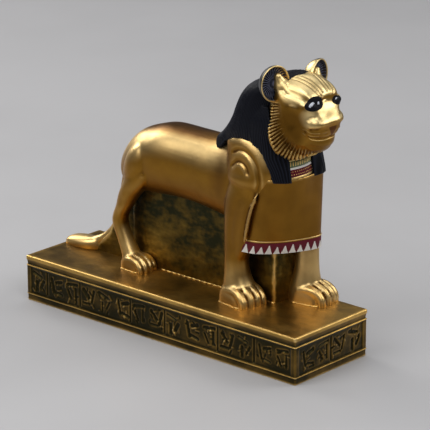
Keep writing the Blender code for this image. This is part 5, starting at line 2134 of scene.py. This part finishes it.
    def relief(self, side: int, x: np.ndarray, z: np.ndarray) -> np.ndarray:
        """How far out of the panel's plane each point of a side stands, never above the strips."""
        low = self.foot + self.bead + self.field_edge
        high = self.height - self.lip - self.cove - self.bead - self.field_edge
        half = (self.length if side % 2 == 0 else self.width) / 2 - self.panel_inset - self.corner_strip
        inside = np.minimum(half - np.abs(x), np.minimum(z - low, high - z))
        level = -self.field_depth * risen(inside, 0.0, 0.35)
        for x0, z0, x1, z1, wide, out in self.strokes(side, low, high):
            span = max((x1 - x0) ** 2 + (z1 - z0) ** 2, 1e-6)
            t = np.clip(((x - x0) * (x1 - x0) + (z - z0) * (z1 - z0)) / span, 0.0, 1.0)
            gap = np.hypot(x - x0 - t * (x1 - x0), z - z0 - t * (z1 - z0))
            share = eased(risen(wide + 0.22, gap, 0.42))
            level = level + out * share * (inside > 0.2)
        return np.clip(level, -self.field_depth - self.stroke_depth, 0.0)

    def build(self, shop: Workshop, middle_y: float) -> None:
        """Makes the plinth.

        Args:
            shop: Where it is made.
            middle_y: The plinth's middle on the frame's y axis, in metres.
        """
        columns = self.columns()
        rings = []
        rubbed_and_lit = []
        for inset, z, rub_and_light in self.profile():
            panel = self.foot + self.bead < z < self.height - self.lip - self.cove - self.bead
            moved = np.zeros(len(columns))
            if panel and inset == self.panel_inset:
                for side in range(4):
                    chosen = [i for i, column in enumerate(columns) if column[0] == side]
                    along = np.array([columns[i][1] for i in chosen])
                    moved[chosen] = self.relief(side, along, np.full(len(along), z))
            ring = []
            for (_, _, foot, away), out in zip(columns, moved):
                # The top grows lighter towards the front, a painted light, and sunk strokes and field grow
                # darker, a painted shade.
                front_light = 0.0014 * foot.x if inset > 3.0 else 0.0
                rubbed_and_lit.append(rub_and_light + front_light + 0.30 * out)
                reach = self.corner - inset
                if inset > self.corner:
                    keep_x = (self.length / 2 - inset) / (self.length / 2 - self.corner)
                    keep_y = (self.width / 2 - inset) / (self.width / 2 - self.corner)
                    point = Vector((foot.x * keep_x, foot.y * keep_y, z))
                else:
                    point = foot + away * (reach + out)
                    point.z = z
                ring.append(point * MM + Vector((0.0, middle_y, 0.0)))
            rings.append(ring)
        skin = Skin(object_through("plinth", rings), shop.space)
        skin.note("rub_and_light", np.array(rubbed_and_lit))
        skin.note_shading_and_wear(5.0, 1)
        shop.place(skin.obj, PLINTH)


TRUNK = Trunk()
WIG = Wig()
RIGHT_EAR = Ear(Side.RIGHT, (67.0, -16.6, 127.6), 1.08)
LEFT_EAR = Ear(Side.LEFT, (69.0, 16.4, 125.6), 1.0)
LIP = (
    (85.3, -10.6, 100.6), (86.2, -9.6, 99.6), (87.4, -8.5, 99.2), (88.6, -6.9, 98.9),
    (90.1, -3.8, 99.0), (90.8, 0.1, 99.3), (90.2, 3.6, 99.2), (89.0, 6.2, 99.2),
)


@dataclass(frozen=True)
class Light:
    """A large soft lamp.

    Attributes:
        name: Its name.
        azimuth: Degrees round the statue, 0 in front of its right side.
        elevation: Degrees above the floor.
        distance: Metres from the statue.
        size: Metres across.
        power: Watts.
        colour: Its colour.
    """

    name: str
    azimuth: float
    elevation: float
    distance: float
    size: float
    power: float
    colour: tuple[float, float, float]

    def build(self, target: Vector) -> None:
        """Hangs the lamp so that it faces the target."""
        data = bpy.data.lights.new(self.name, "AREA")
        data.shape = "DISK"
        data.size = self.size
        data.energy = self.power
        data.color = self.colour
        lamp = bpy.data.objects.new(self.name, data)
        bpy.context.scene.collection.objects.link(lamp)
        a, e = math.radians(self.azimuth), math.radians(self.elevation)
        away = Vector((math.sin(a) * math.cos(e), -math.cos(a) * math.cos(e), math.sin(e)))
        lamp.location = target + away * self.distance
        lamp.rotation_mode = "QUATERNION"
        lamp.rotation_quaternion = away.to_track_quat("Z", "Y")


@dataclass(frozen=True)
class Camera:
    """The view that the statue is seen in, fitted to its plinth.

    Attributes:
        azimuth: Degrees round the statue.
        elevation: Degrees above the floor.
        roll: Degrees.
        distance: Millimetres from the plinth's foot.
        aside: Millimetres to the right.
        up: Millimetres up.
        focal: Focal length in pixels.
        pixels: Picture width in pixels.
    """

    azimuth: float = 41.93
    elevation: float = 18.41
    roll: float = -0.18
    distance: float = 1494.8
    aside: float = 12.615
    up: float = 61.62
    focal: float = 2704.4
    pixels: float = 430.0

    def build(self, middle_y: float) -> None:
        """Puts the camera in its place."""
        az, el, roll = (math.radians(v) for v in (self.azimuth, self.elevation, self.roll))
        back = Vector((math.sin(az) * math.cos(el), -math.cos(az) * math.cos(el), math.sin(el)))
        right = (-back).cross(Vector((0.0, 0.0, 1.0))).normalized()
        over = right.cross(-back)
        turned = right * math.cos(roll) + over * math.sin(roll)
        upward = over * math.cos(roll) - right * math.sin(roll)
        spot = (back * self.distance + turned * self.aside + upward * self.up) * MM
        spot.y += middle_y
        data = bpy.data.cameras.new("camera")
        data.sensor_width = 36.0
        data.lens = self.focal / self.pixels * data.sensor_width
        data.clip_end = 20.0
        made = bpy.data.objects.new("camera", data)
        bpy.context.scene.collection.objects.link(made)
        columns = Matrix((turned, upward, back)).transposed()
        made.matrix_world = Matrix.Translation(spot) @ columns.to_4x4()
        bpy.context.scene.camera = made


@dataclass(frozen=True)
class Studio:
    """The floor, the world and the lamps.

    Attributes:
        floor_half: Half the floor's side, in metres.
        floor_colour: Its darker colour.
        floor_cloud: How much brighter its lighter colour is.
        world_colour: Colour of the light from all round.
        world_strength: Its strength.
        target: Height that the lamps face, in metres.
        lamps: The lamps.
    """

    floor_half: float = 4.0
    floor_colour: Colour = (0.46, 0.46, 0.475, 1.0)
    floor_cloud: float = 1.06
    world_colour: Colour = (0.55, 0.57, 0.62, 1.0)
    world_strength: float = 0.15
    target: float = 0.08
    lamps: tuple = (
        Light("left", -94.0, 31.0, 1.4, 1.0, 9.5, (1.0, 0.98, 0.95)),
        Light("front left", -18.0, 38.0, 1.4, 1.0, 7.5, (1.0, 0.98, 0.95)),
        Light("top", 20.0, 78.0, 1.3, 0.8, 4.2, (1.0, 0.99, 0.97)),
        Light("front right", 62.0, 42.0, 1.4, 0.9, 5.0, (1.0, 0.99, 0.97)),
        Light("right", 136.0, 34.0, 1.4, 0.9, 6.0, (1.0, 0.99, 0.97)),
        Light("back", -160.0, 56.0, 1.4, 0.9, 3.0, (1.0, 0.99, 0.97)),
    )

    def build(self) -> None:
        """Makes the studio."""
        mesh = bpy.data.meshes.new("floor")
        half = self.floor_half
        corners = [(-half, -half, 0.0), (half, -half, 0.0), (half, half, 0.0), (-half, half, 0.0)]
        mesh.from_pydata(corners, [], [(0, 1, 2, 3)])
        floor = bpy.data.objects.new("floor", mesh)
        bpy.context.scene.collection.objects.link(floor)
        made = bpy.data.materials.new("pale floor")
        made.use_nodes = True
        tree = Tree(made.node_tree)
        shader = made.node_tree.nodes["Principled BSDF"]
        shader.inputs["Roughness"].default_value = 0.42
        cloud = tree.ramp(tree.noise(6.0, 4.0), 0.3, 0.7)
        lighter = tuple(min(1.0, value * self.floor_cloud) for value in self.floor_colour[:3]) + (1.0,)
        tree.feed(shader.inputs["Base Color"], tree.mix(cloud, self.floor_colour, lighter))
        mesh.materials.append(made)
        world = bpy.data.worlds.new("studio")
        world.use_nodes = True
        sky = world.node_tree.nodes["Background"]
        sky.inputs["Color"].default_value = self.world_colour
        sky.inputs["Strength"].default_value = self.world_strength
        bpy.context.scene.world = world
        bpy.context.scene.view_settings.view_transform = "Standard"
        for lamp in self.lamps:
            lamp.build(Vector((0.0, 0.0, self.target)))


def main() -> None:
    """Builds the statue on the loaded frame, then the studio and the camera."""
    logging.basicConfig(level=logging.INFO, format="%(name)s: %(message)s")
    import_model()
    low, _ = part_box(NODE)
    middle_y = low.y + PLINTH_HALF_WIDTH
    space = Space(middle_y + ANIMAL_ASIDE, CARVED_ZERO)
    shop = Workshop(space)
    Plinth().build(shop, middle_y)
    Web().build(shop)
    TRUNK.build(shop)
    Bib().build(shop)
    WIG.build(shop)
    head = Head().build(shop)
    bench = Bench(head)
    for eye in (RIGHT_EYE, LEFT_EYE):
        eye.build(shop, bench)
    bench.line(shop, "lip_line", LIP, 0.30, 0.02, BRIGHT_GOLD, False)
    for ear in (RIGHT_EAR, LEFT_EAR):
        ear.build(shop)
    Camera().build(middle_y)
    Studio().build()
    LOG.info("%d pieces", len(shop.pieces))


if __name__ == "__main__":
    main()
